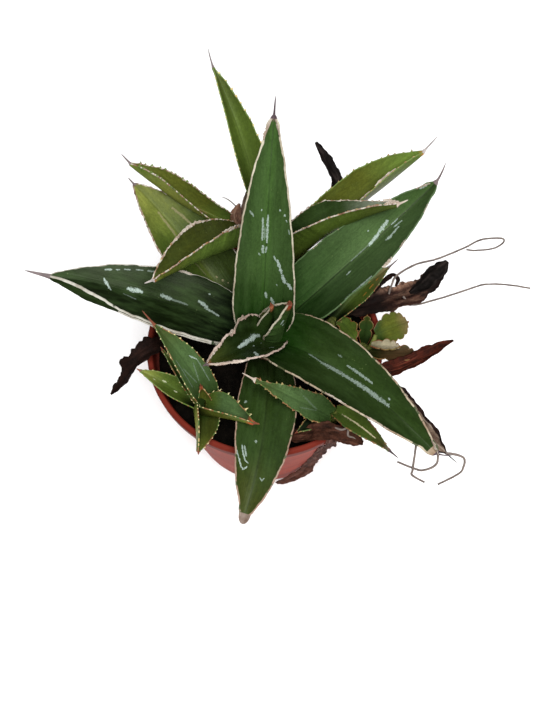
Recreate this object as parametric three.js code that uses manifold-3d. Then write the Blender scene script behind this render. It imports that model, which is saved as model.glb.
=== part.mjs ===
// Queen victoria agave with its offsets, a small companion succulent and old dry leaves, in a plastic
// nursery pot. Millimetres, +Z up. The origin is the centre of the pot's flat base; the pot's axis is Z.
// +Y is behind the plant, where the tall leaf stands, and -Y is its front.
import * as THREE from 'three';
import { mergeVertices } from 'three/addons/utils/BufferGeometryUtils.js';
import Module from 'manifold-3d';

const wasm = await Module();
wasm.setup();

// ---------------------------------------------------------------- driving dimensions
const GAP = 0.35; // clearance that neighbours keep where they grow against each other

const POT_HEIGHT = 155;
const POT_BASE_RADIUS = 68;
const POT_RIM_RADIUS = 90;
const POT_RIM_INNER_RADIUS = 85.4;
const POT_LIP_DEPTH = 12; // height of the thick band below the rim
const POT_LIP_STEP = 3.5; // how far the band stands out from the wall
const POT_WALL = 2;
const POT_FLOOR = 3;
const POT_SEGMENTS = 40;
const DRAIN_HOLE_RADIUS = 5;
const DRAIN_HOLE_RING = 46;
const DRAIN_HOLES = 6;

const SOIL_LEVEL = 134;
const SOIL_HEAP = 4; // the soil rises a little to the main stem
const STEM_FOOT = 112; // how deep the stems reach down into the soil

const MIDLINE_STEPS = 48; // steps of the sum that bends a leaf's midline
const CHANNEL_POWER = 1.5; // how round the gutter of a leaf is across
const CHANNEL_SETTLES_AT = 0.5; // share of the length where the gutter reaches its final depth
const RIM_THICKNESS = 1.3; // the horny margin
const RIM_INSET = 0.92; // where across the half width the margin starts
const SPINE_RADIUS = 1.1;
const SPINE_LIFT = 0.15; // how far a spine turns up, as a share of its length
const TIP_THICKNESS_SHARE = 0.3;
const SLIM_RIM_THICKNESS = 0.9; // the margin of a toothed or scalloped leaf
const TOOTH_HEIGHT = 1.1;
const SCALLOP_NOTCH = 0.9;
const RAGGED_SHARE = 0.12; // how far the edge of a dry leaf wanders, as a share of its half width
const RAGGED_STEP = 2.4; // radians of that wander from one station to the next

const COLOURS = {
  pot: 0x9c4a40,
  soil: 0x1b1411,
  stem: 0x6f6a3f,
  bark: 0x5b3a2c,
  blade: 0x3b5a2e,
  youngBlade: 0x6c7a32,
  companion: 0x5f7030,
  dry: 0x4a2e26,
};

// Each leaf: where its midline starts, its compass heading (degrees from +X towards +Y) and how far that
// turns along the leaf, its rise above level at the base and at the tip, its length and its full width,
// the width at the base as a share, the place of the widest part as a share of the length, the two
// exponents of its taper, the gutter angle at the base and beyond the middle, and its roll about the
// midline at the base and at the tip (positive lifts its left edge).
const MAIN_LEAVES = [
  { name: 'main_bud', base: [1, 4, 166], heading: 350, turn: 0, rise: [86, 84], length: 40, width: 17,
    baseShare: 0.75, widest: 0.3, taper: [1.3, 1], gutter: [62, 66], roll: [0, 0], thick: 7, spine: 4 },
  { name: 'leaf_inner_east', base: [6, 2, 163], heading: 2, turn: 4, rise: [81, 74], length: 49, width: 29,
    baseShare: 0.7, widest: 0.35, taper: [1.7, 1], gutter: [58, 47], roll: [2, 5], thick: 10, spine: 3 },
  { name: 'leaf_inner_southwest', base: [5, -2, 161], heading: 225, turn: -7, rise: [54, 19], length: 74,
    width: 44, baseShare: 0.65, widest: 0.38, taper: [1.45, 1], gutter: [45, 36], roll: [-1, -14], thick: 9,
    spine: 3 },
  { name: 'leaf_north', base: [-1, 6, 158], heading: 87, turn: -3, rise: [72, 40], length: 163, width: 52,
    baseShare: 0.55, widest: 0.2, taper: [1.65, 0.8], gutter: [33, 33], roll: [2, 0], thick: 8,
    spine: 11 },
  { name: 'leaf_southeast', base: [4, -1, 158], heading: 320, turn: -9, rise: [46, -8], length: 163,
    width: 53, baseShare: 0.65, widest: 0.27, taper: [1.85, 0.87], gutter: [36, 33], roll: [6, 21],
    thick: 8, spine: 4 },
  { name: 'leaf_west', base: [-9, 3, 156], heading: 170, turn: 5, rise: [37, 9], length: 157, width: 53,
    baseShare: 0.6, widest: 0.32, taper: [1.9, 0.94], gutter: [35, 17], roll: [-3, -1], thick: 8,
    spine: 15 },
  { name: 'leaf_northeast', base: [4, 8, 154], heading: 28, turn: 12, rise: [37, 21], length: 165,
    width: 55, baseShare: 0.56, widest: 0.37, taper: [2, 0.92], gutter: [33, 33], roll: [0, 18], thick: 8,
    spine: 13 },
  { name: 'leaf_south', base: [2, -8, 146], heading: 273, turn: -20, rise: [23, -13], length: 129,
    width: 45, baseShare: 0.6, widest: 0.38, taper: [1.9, 0.7], gutter: [30, 20], roll: [-7, -3], thick: 7,
    spine: 5 },
  { name: 'leaf_northwest', base: [-9, 9, 146], heading: 127, turn: 11, rise: [29, 20], length: 148,
    width: 53, baseShare: 0.6, widest: 0.47, taper: [1.85, 0.87], gutter: [32, 21], roll: [-16, 3],
    thick: 7, spine: 5 },
];

const BACK_OFFSET_LEAVES = [
  { name: 'back_offset_leaf_north', base: [-1, 88, 183], heading: 111, turn: 10, rise: [63, 33],
    length: 121, width: 28, baseShare: 0.55, widest: 0.39, taper: [1.7, 1], gutter: [49, 37], roll: [3, 6],
    thick: 5, spine: 10, teeth: 11 },
  { name: 'back_offset_leaf_west', base: [-11, 83, 183], heading: 168, turn: -13, rise: [11, 38],
    length: 104, width: 32, baseShare: 0.53, widest: 0.58, taper: [1.9, 0.96], gutter: [60, 66],
    roll: [-43, 37], thick: 6, spine: 8, teeth: 10 },
  { name: 'back_offset_leaf_southwest', base: [-8, 78, 184], heading: 229, turn: -10, rise: [38, 9],
    length: 105, width: 44, baseShare: 0.52, widest: 0.48, taper: [2, 0.93], gutter: [45, 55],
    roll: [32, 10], thick: 8, spine: 5, teeth: 10 },
  { name: 'back_offset_leaf_east', base: [12.5, 64.5, 161.5], heading: 366, turn: -11.5, rise: [64, 26],
    length: 115.5, width: 46.5, baseShare: 0.45, widest: 0.52, taper: [0.8, 0.88], gutter: [75.5, 38.5],
    roll: [-20, -40], thick: 9.5, spine: 6, teeth: 10 },
  { name: 'back_offset_leaf_northeast', base: [8, 81, 170], heading: 12, turn: 6.5, rise: [19, 47],
    length: 133, width: 41, baseShare: 0.48, widest: 0.59, taper: [1.85, 0.93], gutter: [63, 52],
    roll: [38, -28], thick: 6, spine: 13, teeth: 11 },
];

const LEFT_OFFSET_LEAVES = [
  { name: 'left_offset_leaf_heart', base: [-44, -48, 150], heading: 107, turn: 0, rise: [79, 64],
    length: 19, width: 14, baseShare: 0.8, widest: 0.3, taper: [1.7, 1], gutter: [49, 44], roll: [0, 0],
    thick: 2.4, spine: 3, teeth: 3 },
  { name: 'left_offset_leaf_north', base: [-42, -46, 150], heading: 128, turn: 12, rise: [67, 32],
    length: 76, width: 26, baseShare: 0.67, widest: 0.3, taper: [1.85, 0.95], gutter: [39, 33],
    roll: [1, 7], thick: 3.4, spine: 12, teeth: 9 },
  { name: 'left_offset_leaf_southeast', base: [-43, -52, 151], heading: 328, turn: 4, rise: [47, 18],
    length: 50, width: 28, baseShare: 0.6, widest: 0.33, taper: [1.6, 1.03], gutter: [55, 48],
    roll: [-9, -24], thick: 7, spine: 4, teeth: 7 },
  { name: 'left_offset_leaf_south', base: [-47, -52, 146], heading: 278, turn: -12, rise: [38, 16],
    length: 43, width: 28, baseShare: 0.6, widest: 0.4, taper: [1.8, 1], gutter: [54, 52], roll: [-28, -42],
    thick: 6, spine: 2, teeth: 7 },
  { name: 'left_offset_leaf_west', base: [-49, -48, 143], heading: 155, turn: 3, rise: [42, 18], length: 53,
    width: 19, baseShare: 0.6, widest: 0.41, taper: [1.85, 0.97], gutter: [45, 33], roll: [4, 1],
    thick: 2.8, spine: 2, teeth: 7 },
  { name: 'left_offset_leaf_northwest', base: [-49, -47, 147], heading: 129, turn: 2, rise: [46, 34],
    length: 50, width: 10, baseShare: 0.7, widest: 0.32, taper: [1.6, 1], gutter: [45, 35], roll: [1, 4],
    thick: 2.4, spine: 2, teeth: 6 },
];

const RIGHT_OFFSET_LEAVES = [
  { name: 'right_offset_leaf_west', base: [48, -59, 151], heading: 167, turn: -6, rise: [37, 22],
    length: 66, width: 23, baseShare: 0.66, widest: 0.23, taper: [1.4, 1.04], gutter: [37, 20],
    roll: [-9, 0], thick: 3.2, spine: 10, teeth: 9 },
  { name: 'right_offset_leaf_southeast', base: [53, -56, 151], heading: 311, turn: 5, rise: [48, -4],
    length: 54, width: 17, baseShare: 0.7, widest: 0.34, taper: [1.6, 1], gutter: [45, 25], roll: [10, 3],
    thick: 3, spine: 7, teeth: 7 },
  { name: 'right_offset_leaf_southwest', base: [46, -58, 147], heading: 210, turn: 6, rise: [30, 10],
    length: 29, width: 13, baseShare: 0.6, widest: 0.4, taper: [1.7, 1], gutter: [45, 26], roll: [0, 4],
    thick: 2.6, spine: 2, teeth: 5 },
];

const EAST_OFFSET_LEAVES = [
  { name: 'east_offset_leaf', base: [54, 21, 151], heading: 41, turn: -7, rise: [34, 20], length: 58,
    width: 21, baseShare: 0.6, widest: 0.46, taper: [1.9, 0.97], gutter: [48, 28], roll: [-1, -2], thick: 3,
    spine: 9, teeth: 8 },
];

// The companion's leaves are rounder, with shallow scallops.
const COMPANION_LEAVES = [
  { name: 'companion_leaf_folded', base: [59, 20, 149], heading: 297, turn: -3, rise: [39, 8], length: 27,
    width: 16, baseShare: 0.6, widest: 0.5, taper: [1.7, 1], gutter: [44, 30], roll: [3, 0], thick: 2,
    scallops: 4 },
  { name: 'companion_leaf_upright', base: [77, 3, 146], heading: 86, turn: 0, rise: [51, 50], length: 23,
    width: 12, baseShare: 0.5, widest: 0.5, taper: [2.4, 0.7], gutter: [20, 11], roll: [0, 0], thick: 2,
    scallops: 3 },
  { name: 'companion_leaf_round', base: [84, 4, 159], heading: 14, turn: 0, rise: [26, 17], length: 26,
    width: 26, baseShare: 0.35, widest: 0.53, taper: [2.6, 0.6], gutter: [10, 8], roll: [-5, -5], thick: 2,
    scallops: 5 },
  { name: 'companion_leaf_cupped', base: [80, -5, 160], heading: 340, turn: 10, rise: [14, 32], length: 22,
    width: 12, baseShare: 0.4, widest: 0.52, taper: [2.5, 0.6], gutter: [32, 34], roll: [-15, 0], thick: 2,
    scallops: 4 },
  { name: 'companion_leaf_low', base: [79, -9, 155], heading: 340, turn: 30, rise: [28, -6], length: 35,
    width: 15, baseShare: 0.4, widest: 0.6, taper: [2.6, 0.6], gutter: [10, 6], roll: [-3, -3], thick: 2,
    scallops: 4 },
];

// A withered little bulb of bracts on the crown of the back offset: points with the radius at each.
const BRACT_BULB_SIDES = 6;
const BRACT_BULB = [[-6, 82, 183, 3], [-14, 83, 188, 3.5], [-19.5, 84.5, 192, 5], [-21.5, 87, 195.5, 4.8],
  [-20.5, 91, 198, 2.8], [-19, 94.5, 200, 0.8]];

// Stems: points from foot to top with the radius at each.
const STEMS = [
  { name: 'main_stem', colour: 'bark', sides: 14,
    path: [[0, 2, STEM_FOOT, 13], [0, 2, 138, 15], [0, 2, 152, 14], [0, 3, 163, 9], [0, 3, 168, 4]] },
  { name: 'back_offset_stem', colour: 'bark', sides: 10, bulb: true,
    path: [[-2, 58, STEM_FOOT, 7], [-2, 62, 134, 8], [-2, 70, 154, 8], [-2, 79, 174, 8], [-2, 83, 185, 5]] },
  { name: 'left_offset_stem', colour: 'stem', sides: 10,
    path: [[-45, -48, STEM_FOOT, 5], [-45, -48, 136, 6], [-45, -48, 146, 5.5], [-45, -48, 152, 3]] },
  { name: 'right_offset_stem', colour: 'stem', sides: 10,
    path: [[50, -54, STEM_FOOT, 5], [50, -54, 136, 6], [50, -55, 146, 5.5], [50, -56, 152, 3]] },
  { name: 'east_offset_stem', colour: 'stem', sides: 10,
    path: [[51, 17, STEM_FOOT, 5], [51, 17, 136, 6], [52, 19, 147, 5], [53, 20, 153, 3]] },
  { name: 'companion_stem', colour: 'stem', sides: 8,
    path: [[70, 2, STEM_FOOT, 2.5], [71, 2, 136, 2.5], [75, 1, 145, 2.5], [79, -4, 152, 2.3],
      [81, -4, 157, 2.1], [84, 3, 160, 1.6]] },
  { name: 'companion_side_stem', colour: 'stem', sides: 8,
    path: [[62, 16, STEM_FOOT, 2.2], [61, 17, 136, 2.2], [60, 19, 146, 2], [59, 20, 150, 1.6]] },
];

// Old dry leaves: points of the midline, each with half the width there and the roll in degrees.
const DRY_LEAVES = [
  { name: 'dry_leaf_back', cup: 30, thick: 1.6,
    path: [[4, 83, 172, 5, 0], [28, 98, 170, 6, 0], [48, 113, 172, 6, 10], [58, 132, 176, 5.5, 20],
      [50.5, 148, 183, 5.5, 25], [41.5, 162, 189, 4, 20]] },
  { name: 'dry_leaf_east', cup: 15, thick: 1.8,
    path: [[61, 30, 149, 6, 10], [71, 29, 154, 8.5, 0], [83, 29, 159.5, 11, -5], [95, 31, 162, 12, -5],
      [108, 34, 163, 11.5, -5], [120, 39, 165.5, 9.5, 5], [128, 45, 169.5, 7.5, 20],
      [137, 53, 177, 3.5, 30]] },
  { name: 'dry_leaf_low_east', cup: 25, thick: 1.6,
    path: [[69, -32, 149, 4, 0], [81, -30, 158.5, 5.5, 0], [91, -27, 161, 7, 0], [101, -24, 161, 7, -5],
      [112, -19, 162, 6.5, -5], [124, -13, 163, 5.5, -5], [132, -8, 164, 3.5, 0], [141, -4, 165, 0.9, 0]] },
  { name: 'dry_leaf_west', cup: 35, thick: 1.6,
    path: [[-58, 9, 131, 4, 0], [-66, 5, 143, 6, 0], [-75, 0, 153, 7.5, 5], [-83, -7, 158.5, 9, 10],
      [-92, -15, 159.5, 9.5, 20], [-100, -22, 154, 8.5, 25], [-108, -29, 144, 5, 20],
      [-118, -35, 134, 1.2, 10]] },
  { name: 'dry_leaf_front', cup: 22, thick: 1.6,
    path: [[18, -72, 147, 4.5, 0], [29, -74, 152.5, 6.5, 0], [42, -74, 161, 7.5, 0], [53, -76, 161.5, 7, 0],
      [63, -79, 159, 5.5, 0], [70, -81, 156.5, 2, 0]] },
  { name: 'dry_leaf_hanging', cup: 8, thick: 1.4,
    path: [[45, -66, 147, 3, 0], [47.5, -71.5, 156.8, 3.5, 0], [48.2, -76.8, 157.4, 4, 0],
      [48.2, -78, 152, 4, 0], [47.2, -76.8, 140, 4, 0], [44.2, -72.2, 112, 4, 0], [41.3, -69.3, 84, 4.5, 0],
      [38, -67.4, 56, 5, 0], [33, -69, 36, 5.5, 0], [22, -72.5, 25, 5, 0], [10, -74.5, 17, 2.2, 0]] },
];

// A dead leaf of the main plant that lies against the underside of the south-east leaf.
const DRY_UNDER_LEAF = { name: 'dry_leaf_southeast', base: [10, -6, 153], heading: 320, turn: -5,
  rise: [46, -6], length: 160, width: 34, baseShare: 0.45, widest: 0.5, taper: [2, 0.87], gutter: [20, 14],
  roll: [2, 12], thick: 1.8, spine: 7 };

// Dry fibres, each fused to the dry leaf that holds it.
const FIBRE_RADIUS = 0.7;
const FIBRE_SIDES = 4;
const FIBRES = [
  { holder: 'dry_leaf_east',
    path: [[96, 37, 162.5], [98, 43, 167], [102, 49, 171], [117, 58, 172], [134, 63, 172], [156, 73, 172],
      [170, 80, 173], [186, 82, 172], [188, 79, 171], [180, 74, 170], [166, 72, 170], [158, 72, 171]] },
  { holder: 'dry_leaf_east',
    path: [[106, 33, 166], [114, 28, 162], [129, 32, 161], [143, 37, 160], [157, 42, 160], [172, 47, 160],
      [190, 48, 158], [209, 46, 156]] },
  { holder: 'dry_leaf_southeast',
    path: [[110, -97, 206], [111, -105, 201], [109, -109, 198], [102, -111, 195], [97, -109, 192],
      [87, -104, 190]] },
  { holder: 'dry_leaf_southeast',
    path: [[99, -89, 206], [98, -97, 199], [96, -110, 193], [96, -113, 190], [104, -117, 188]] },
  { holder: 'dry_leaf_southeast',
    path: [[115, -103, 206], [122, -104, 206], [127, -106, 204], [127, -110, 200], [124, -114, 198],
      [112, -119, 190]] },
];

// ---------------------------------------------------------------- small tools
const radians = THREE.MathUtils.degToRad;
const clamp = THREE.MathUtils.clamp;
const lerp = THREE.MathUtils.lerp;

// One closed geometry from rings of equal size: the rings are joined by a skin and the ends are closed.
// columnPairs lists the index pairs that face each other across a ring, from one edge to the other.
function skinOfRings(rings, columnPairs, apex = null) {
  const size = rings[0].length;
  const positions = rings.flat().flatMap((point) => point.toArray());
  const faces = [];
  for (let ring = 0; ring + 1 < rings.length; ring += 1) {
    for (let side = 0; side < size; side += 1) {
      const next = (side + 1) % size;
      const a = ring * size + side;
      const b = ring * size + next;
      const c = a + size;
      const d = b + size;
      // The lower face mirrors the upper one's diagonals, so that a thin waved blade keeps its thickness.
      if (side < size / 2) faces.push(a, b, d, a, d, c);
      else faces.push(a, b, c, b, d, c);
    }
  }
  closeEnd(faces, columnPairs, 0, false);
  if (apex) {
    const top = positions.length / 3;
    positions.push(...apex.toArray());
    const last = (rings.length - 1) * size;
    for (let side = 0; side < size; side += 1) faces.push(last + side, last + ((side + 1) % size), top);
  } else {
    closeEnd(faces, columnPairs, (rings.length - 1) * size, true);
  }
  const geometry = new THREE.BufferGeometry();
  geometry.setAttribute('position', new THREE.Float32BufferAttribute(positions, 3));
  geometry.setIndex(faces);
  return geometry;
}

// Closes one end of a skin with quads between facing columns.
function closeEnd(faces, columnPairs, offset, forward) {
  const add = (a, b, c) => {
    if (a === b || b === c || a === c) return;
    if (forward) faces.push(offset + a, offset + b, offset + c);
    else faces.push(offset + a, offset + c, offset + b);
  };
  for (let column = 0; column + 1 < columnPairs.length; column += 1) {
    const [topNear, lowNear] = columnPairs[column];
    const [topFar, lowFar] = columnPairs[column + 1];
    add(topNear, topFar, lowFar);
    add(topNear, lowFar, lowNear);
  }
}

// Rings of a round section: each side faces the one opposite it.
function roundPairs(sides) {
  const pairs = [];
  for (let k = 0; k <= sides / 2; k += 1) pairs.push([k, (sides - k) % sides]);
  return pairs;
}

// A mesh, its manifold solid and back.
function toSolid(geometry) {
  const bare = new THREE.BufferGeometry();
  bare.setAttribute('position', geometry.getAttribute('position'));
  bare.setIndex(geometry.getIndex());
  const merged = mergeVertices(bare, 1e-4);
  return new wasm.Manifold(new wasm.Mesh({
    numProp: 3,
    vertProperties: new Float32Array(merged.getAttribute('position').array),
    triVerts: new Uint32Array(merged.getIndex().array),
  }));
}

function toGeometry(solid) {
  const mesh = solid.getMesh();
  const geometry = new THREE.BufferGeometry();
  geometry.setAttribute('position', new THREE.Float32BufferAttribute(mesh.vertProperties, 3));
  geometry.setIndex(new THREE.Uint32BufferAttribute(mesh.triVerts, 1));
  geometry.computeVertexNormals();
  return geometry;
}

// Where a cut leaves loose scraps, the largest piece is the part and the scraps are dropped.
function largestPiece(solid) {
  const pieces = solid.decompose();
  return pieces.reduce((best, piece) => (piece.volume() > best.volume() ? piece : best));
}

// ---------------------------------------------------------------- leaf blades
// The midline of a leaf and its crosswise frame at any share s of the length.
function leafMidline(leaf) {
  const [rise0, rise1] = leaf.rise;
  const points = [new THREE.Vector3(...leaf.base)];
  const direction = (s) => {
    const heading = radians(leaf.heading + leaf.turn * s);
    const rise = radians(lerp(rise0, rise1, s));
    return new THREE.Vector3(
      Math.cos(rise) * Math.cos(heading), Math.cos(rise) * Math.sin(heading), Math.sin(rise));
  };
  for (let step = 0; step < MIDLINE_STEPS; step += 1) {
    const along = direction((step + 0.5) / MIDLINE_STEPS).multiplyScalar(leaf.length / MIDLINE_STEPS);
    points.push(points[step].clone().add(along));
  }
  return (s) => {
    const place = clamp(s, 0, 1) * MIDLINE_STEPS;
    const step = Math.min(Math.floor(place), MIDLINE_STEPS - 1);
    const centre = points[step].clone().lerp(points[step + 1], place - step);
    const along = direction(s);
    const heading = radians(leaf.heading + leaf.turn * s);
    const levelSide = new THREE.Vector3(-Math.sin(heading), Math.cos(heading), 0);
    const levelUp = new THREE.Vector3().crossVectors(along, levelSide);
    const roll = radians(lerp(leaf.roll[0], leaf.roll[1], s));
    const side = levelSide.clone().multiplyScalar(Math.cos(roll)).addScaledVector(levelUp, Math.sin(roll));
    const up = levelUp.clone().multiplyScalar(Math.cos(roll)).addScaledVector(levelSide, -Math.sin(roll));
    return { centre, along, side, up };
  };
}

// Half the width of a leaf at share s: it widens from the base, then tapers to the spine.
function leafHalfWidth(leaf, s) {
  const [p, q] = leaf.taper;
  if (s < leaf.widest) {
    const growth = Math.sin((s / leaf.widest) * Math.PI / 2);
    return (leaf.width / 2) * lerp(leaf.baseShare, 1, growth);
  }
  const past = (s - leaf.widest) / (1 - leaf.widest);
  return (leaf.width / 2) * Math.pow(Math.max(0, 1 - Math.pow(past, p)), q);
}

// Thickness over the midrib: full at the base, thinning to the tip.
function leafThickness(leaf, s) {
  const atTip = Math.max(RIM_THICKNESS + 0.5, leaf.thick * TIP_THICKNESS_SHARE);
  return lerp(leaf.thick, atTip, Math.pow(s, 0.7));
}

// The stations along a leaf: plain leaves have evenly drawn ones, toothed leaves one at each tooth's
// point and one in each notch, and scalloped leaves two to a scallop.
function leafStations(leaf) {
  const stations = [];
  if (leaf.teeth) {
    const count = leaf.teeth * 2;
    for (let k = 0; k <= count; k += 1) {
      stations.push({ s: 0.97 * (k / count), tooth: k % 2 === 1 ? TOOTH_HEIGHT : 0 });
    }
    return stations;
  }
  if (leaf.scallops) {
    const count = leaf.scallops * 3;
    for (let k = 0; k <= count; k += 1) {
      const tooth = k % 3 === 0 && k > 0 ? -SCALLOP_NOTCH : 0;
      stations.push({ s: 0.98 * Math.sin((k / count) * Math.PI / 2), tooth });
    }
    return stations;
  }
  for (const s of [0, 0.08, 0.17, 0.28, 0.4, 0.52, 0.64, 0.76, 0.87, 0.95, 0.985]) {
    stations.push({ s, tooth: 0 });
  }
  return stations;
}

// A leaf as one closed body: blade, horny margin, teeth and spine. grow swells it for clearances.
function leafGeometry(leaf, grow = 0) {
  const frameAt = leafMidline(leaf);
  const slim = leaf.teeth || leaf.scallops;
  const columns = slim ? [1, 0.8, 0, -0.8, -1] : [1, RIM_INSET, 0.45, 0, -0.45, -RIM_INSET, -1];
  const last = columns.length - 1;
  const rimThickness = slim ? SLIM_RIM_THICKNESS : RIM_THICKNESS;
  const rings = leafStations(leaf).map(({ s, tooth }) => {
    const { centre, along, side, up } = frameAt(s);
    if (s === 0) centre.addScaledVector(along, -grow);
    const half = Math.max(leafHalfWidth(leaf, s), SPINE_RADIUS) + grow;
    const gutter = radians(lerp(leaf.gutter[0], leaf.gutter[1], clamp(s / CHANNEL_SETTLES_AT, 0, 1)));
    const thickness = Math.max(leafThickness(leaf, s), rimThickness);
    const place = (u, depth) => {
      const reach = Math.abs(u) === 1 ? half + Math.max(tooth, -half * 0.2) : half;
      const rise = reach * Math.pow(Math.abs(u), CHANNEL_POWER);
      const slope = CHANNEL_POWER * Math.sqrt(Math.abs(u)) * Math.sign(u) * Math.sin(gutter);
      const normal = new THREE.Vector2(-slope, Math.cos(gutter)).normalize();
      return centre.clone()
        .addScaledVector(side, reach * u * Math.cos(gutter) - normal.x * depth)
        .addScaledVector(up, rise * Math.sin(gutter) - normal.y * depth);
    };
    const depthAt = (u) => Math.max(rimThickness, thickness * (1 - u * u) + rimThickness * u * u);
    const upper = columns.slice(1, last).map((u) => place(u, -grow));
    const lower = columns.slice(1, last).reverse().map((u) => place(u, depthAt(u) + grow));
    return [place(1, rimThickness / 2), ...upper, place(-1, rimThickness / 2), ...lower];
  });
  const size = rings[0].length;
  const pairs = columns.map((_, k) => (k === 0 || k === last ? [k, k] : [k, size - k]));
  const tip = frameAt(1);
  const spine = (leaf.spine ?? 0.5) + 0.4 + grow;
  const apex = tip.centre.clone()
    .addScaledVector(tip.along, spine)
    .addScaledVector(tip.up, spine * SPINE_LIFT);
  return skinOfRings(rings, pairs, apex);
}

// ---------------------------------------------------------------- stems, fibres and dry leaves
// A smooth path through points that carry further values; returns points at even shares.
function smoothPath(points, count) {
  const out = [];
  for (let k = 0; k <= count; k += 1) {
    const place = (k / count) * (points.length - 1);
    const i = Math.min(Math.floor(place), points.length - 2);
    const t = place - i;
    const before = points[Math.max(i - 1, 0)];
    const after = points[Math.min(i + 2, points.length - 1)];
    out.push(points[i].map((value, axis) => {
      const start = value;
      const end = points[i + 1][axis];
      const leave = (end - before[axis]) / 2;
      const arrive = (after[axis] - start) / 2;
      const t2 = t * t;
      const t3 = t2 * t;
      return (2 * t3 - 3 * t2 + 1) * start + (t3 - 2 * t2 + t) * leave
        + (3 * t2 - 2 * t3) * end + (t3 - t2) * arrive;
    }));
  }
  return out;
}

// Directions along a path of points.
function pathTangents(points) {
  return points.map((_, k) => {
    const a = points[Math.max(k - 1, 0)];
    const b = points[Math.min(k + 1, points.length - 1)];
    return new THREE.Vector3(b[0] - a[0], b[1] - a[1], b[2] - a[2]).normalize();
  });
}

// A round limb along a path of [x, y, z, radius].
function limbGeometry(path, sides, steps, grow = 0) {
  const points = smoothPath(path, steps);
  const tangents = pathTangents(points);
  let side = new THREE.Vector3(1, 0.1, 0).cross(tangents[0]).normalize();
  const rings = points.map((point, k) => {
    side = side.clone().addScaledVector(tangents[k], -side.dot(tangents[k])).normalize();
    const other = new THREE.Vector3().crossVectors(tangents[k], side);
    const centre = new THREE.Vector3(point[0], point[1], point[2]);
    if (k === 0) centre.addScaledVector(tangents[k], -grow);
    if (k === points.length - 1) centre.addScaledVector(tangents[k], grow);
    const ring = [];
    for (let n = 0; n < sides; n += 1) {
      const angle = (n / sides) * Math.PI * 2;
      const radius = point[3] + grow;
      ring.push(centre.clone()
        .addScaledVector(side, radius * Math.cos(angle))
        .addScaledVector(other, radius * Math.sin(angle)));
    }
    return ring;
  });
  return skinOfRings(rings, roundPairs(sides));
}

// A dry leaf: a cupped ribbon with a ragged edge along a path of [x, y, z, half width, roll].
function dryLeafGeometry(leaf, grow = 0) {
  const steps = (leaf.path.length - 1) * 2;
  const points = smoothPath(leaf.path, steps);
  const tangents = pathTangents(points);
  const columns = [1, 0.5, 0, -0.5, -1];
  const cup = radians(leaf.cup);
  let levelSide = new THREE.Vector3(0, 0, 1).cross(tangents[0]).normalize();
  const rings = points.map((point, k) => {
    const along = tangents[k];
    levelSide = levelSide.clone().addScaledVector(along, -levelSide.dot(along)).normalize();
    const levelUp = new THREE.Vector3().crossVectors(along, levelSide);
    const roll = radians(point[4]);
    const side = levelSide.clone().multiplyScalar(Math.cos(roll)).addScaledVector(levelUp, Math.sin(roll));
    const up = levelUp.clone().multiplyScalar(Math.cos(roll)).addScaledVector(levelSide, -Math.sin(roll));
    const centre = new THREE.Vector3(point[0], point[1], point[2]);
    if (k === 0) centre.addScaledVector(along, -grow);
    if (k === points.length - 1) centre.addScaledVector(along, grow);
    const half = point[3] * (1 + RAGGED_SHARE * Math.sin(k * RAGGED_STEP)) + grow;
    const place = (u, depth) => centre.clone()
      .addScaledVector(side, half * u * Math.cos(cup))
      .addScaledVector(up, half * u * u * Math.sin(cup) - depth);
    const upper = columns.slice(1, -1).map((u) => place(u, -leaf.thick / 2 - grow));
    const lower = columns.slice(1, -1).reverse().map((u) => place(u, leaf.thick / 2 + grow));
    return [place(1, 0), ...upper, place(-1, 0), ...lower];
  });
  const size = rings[0].length;
  const pairs = columns.map((_, k) => (k === 0 || k === 4 ? [k, k] : [k, size - k]));
  return skinOfRings(rings, pairs);
}

// The solid of a holder together with the dry fibres that hang on it.
function withFibres(holder, name, grow) {
  return FIBRES.filter((fibre) => fibre.holder === name).reduce((solid, fibre) => {
    const path = fibre.path.map((point) => [...point, FIBRE_RADIUS]);
    return solid.add(toSolid(limbGeometry(path, FIBRE_SIDES, path.length * 2 - 2, grow)));
  }, holder);
}

// ---------------------------------------------------------------- pot and soil
function potWallRadius(z) {
  const top = POT_RIM_RADIUS - POT_LIP_STEP;
  return lerp(POT_BASE_RADIUS, top, z / (POT_HEIGHT - POT_LIP_DEPTH));
}

function potSolid() {
  const lipFoot = POT_HEIGHT - POT_LIP_DEPTH;
  const profile = [
    [0, 0],
    [POT_BASE_RADIUS - 2, 0],
    [potWallRadius(2), 2],
    [potWallRadius(lipFoot - 2), lipFoot - 2],
    [POT_RIM_RADIUS - 1, lipFoot],
    [POT_RIM_RADIUS, POT_HEIGHT - 1.5],
    [POT_RIM_RADIUS - 1.5, POT_HEIGHT],
    [POT_RIM_INNER_RADIUS + 1, POT_HEIGHT],
    [POT_RIM_INNER_RADIUS, POT_HEIGHT - 1.5],
    [potWallRadius(lipFoot - 2) - POT_WALL, lipFoot - 2],
    [potWallRadius(POT_FLOOR) - POT_WALL, POT_FLOOR],
    [0, POT_FLOOR],
  ].map(([radius, height]) => new THREE.Vector2(radius, height));
  const shell = new THREE.LatheGeometry(profile, POT_SEGMENTS);
  shell.rotateX(Math.PI / 2);
  let pot = toSolid(shell);
  for (let hole = 0; hole < DRAIN_HOLES; hole += 1) {
    const angle = (hole / DRAIN_HOLES) * Math.PI * 2;
    const drill = new THREE.CylinderGeometry(DRAIN_HOLE_RADIUS, DRAIN_HOLE_RADIUS, POT_FLOOR * 3, 12);
    drill.rotateX(Math.PI / 2);
    drill.translate(DRAIN_HOLE_RING * Math.cos(angle), DRAIN_HOLE_RING * Math.sin(angle), POT_FLOOR / 2);
    pot = pot.subtract(toSolid(drill));
  }
  return pot;
}

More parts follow.
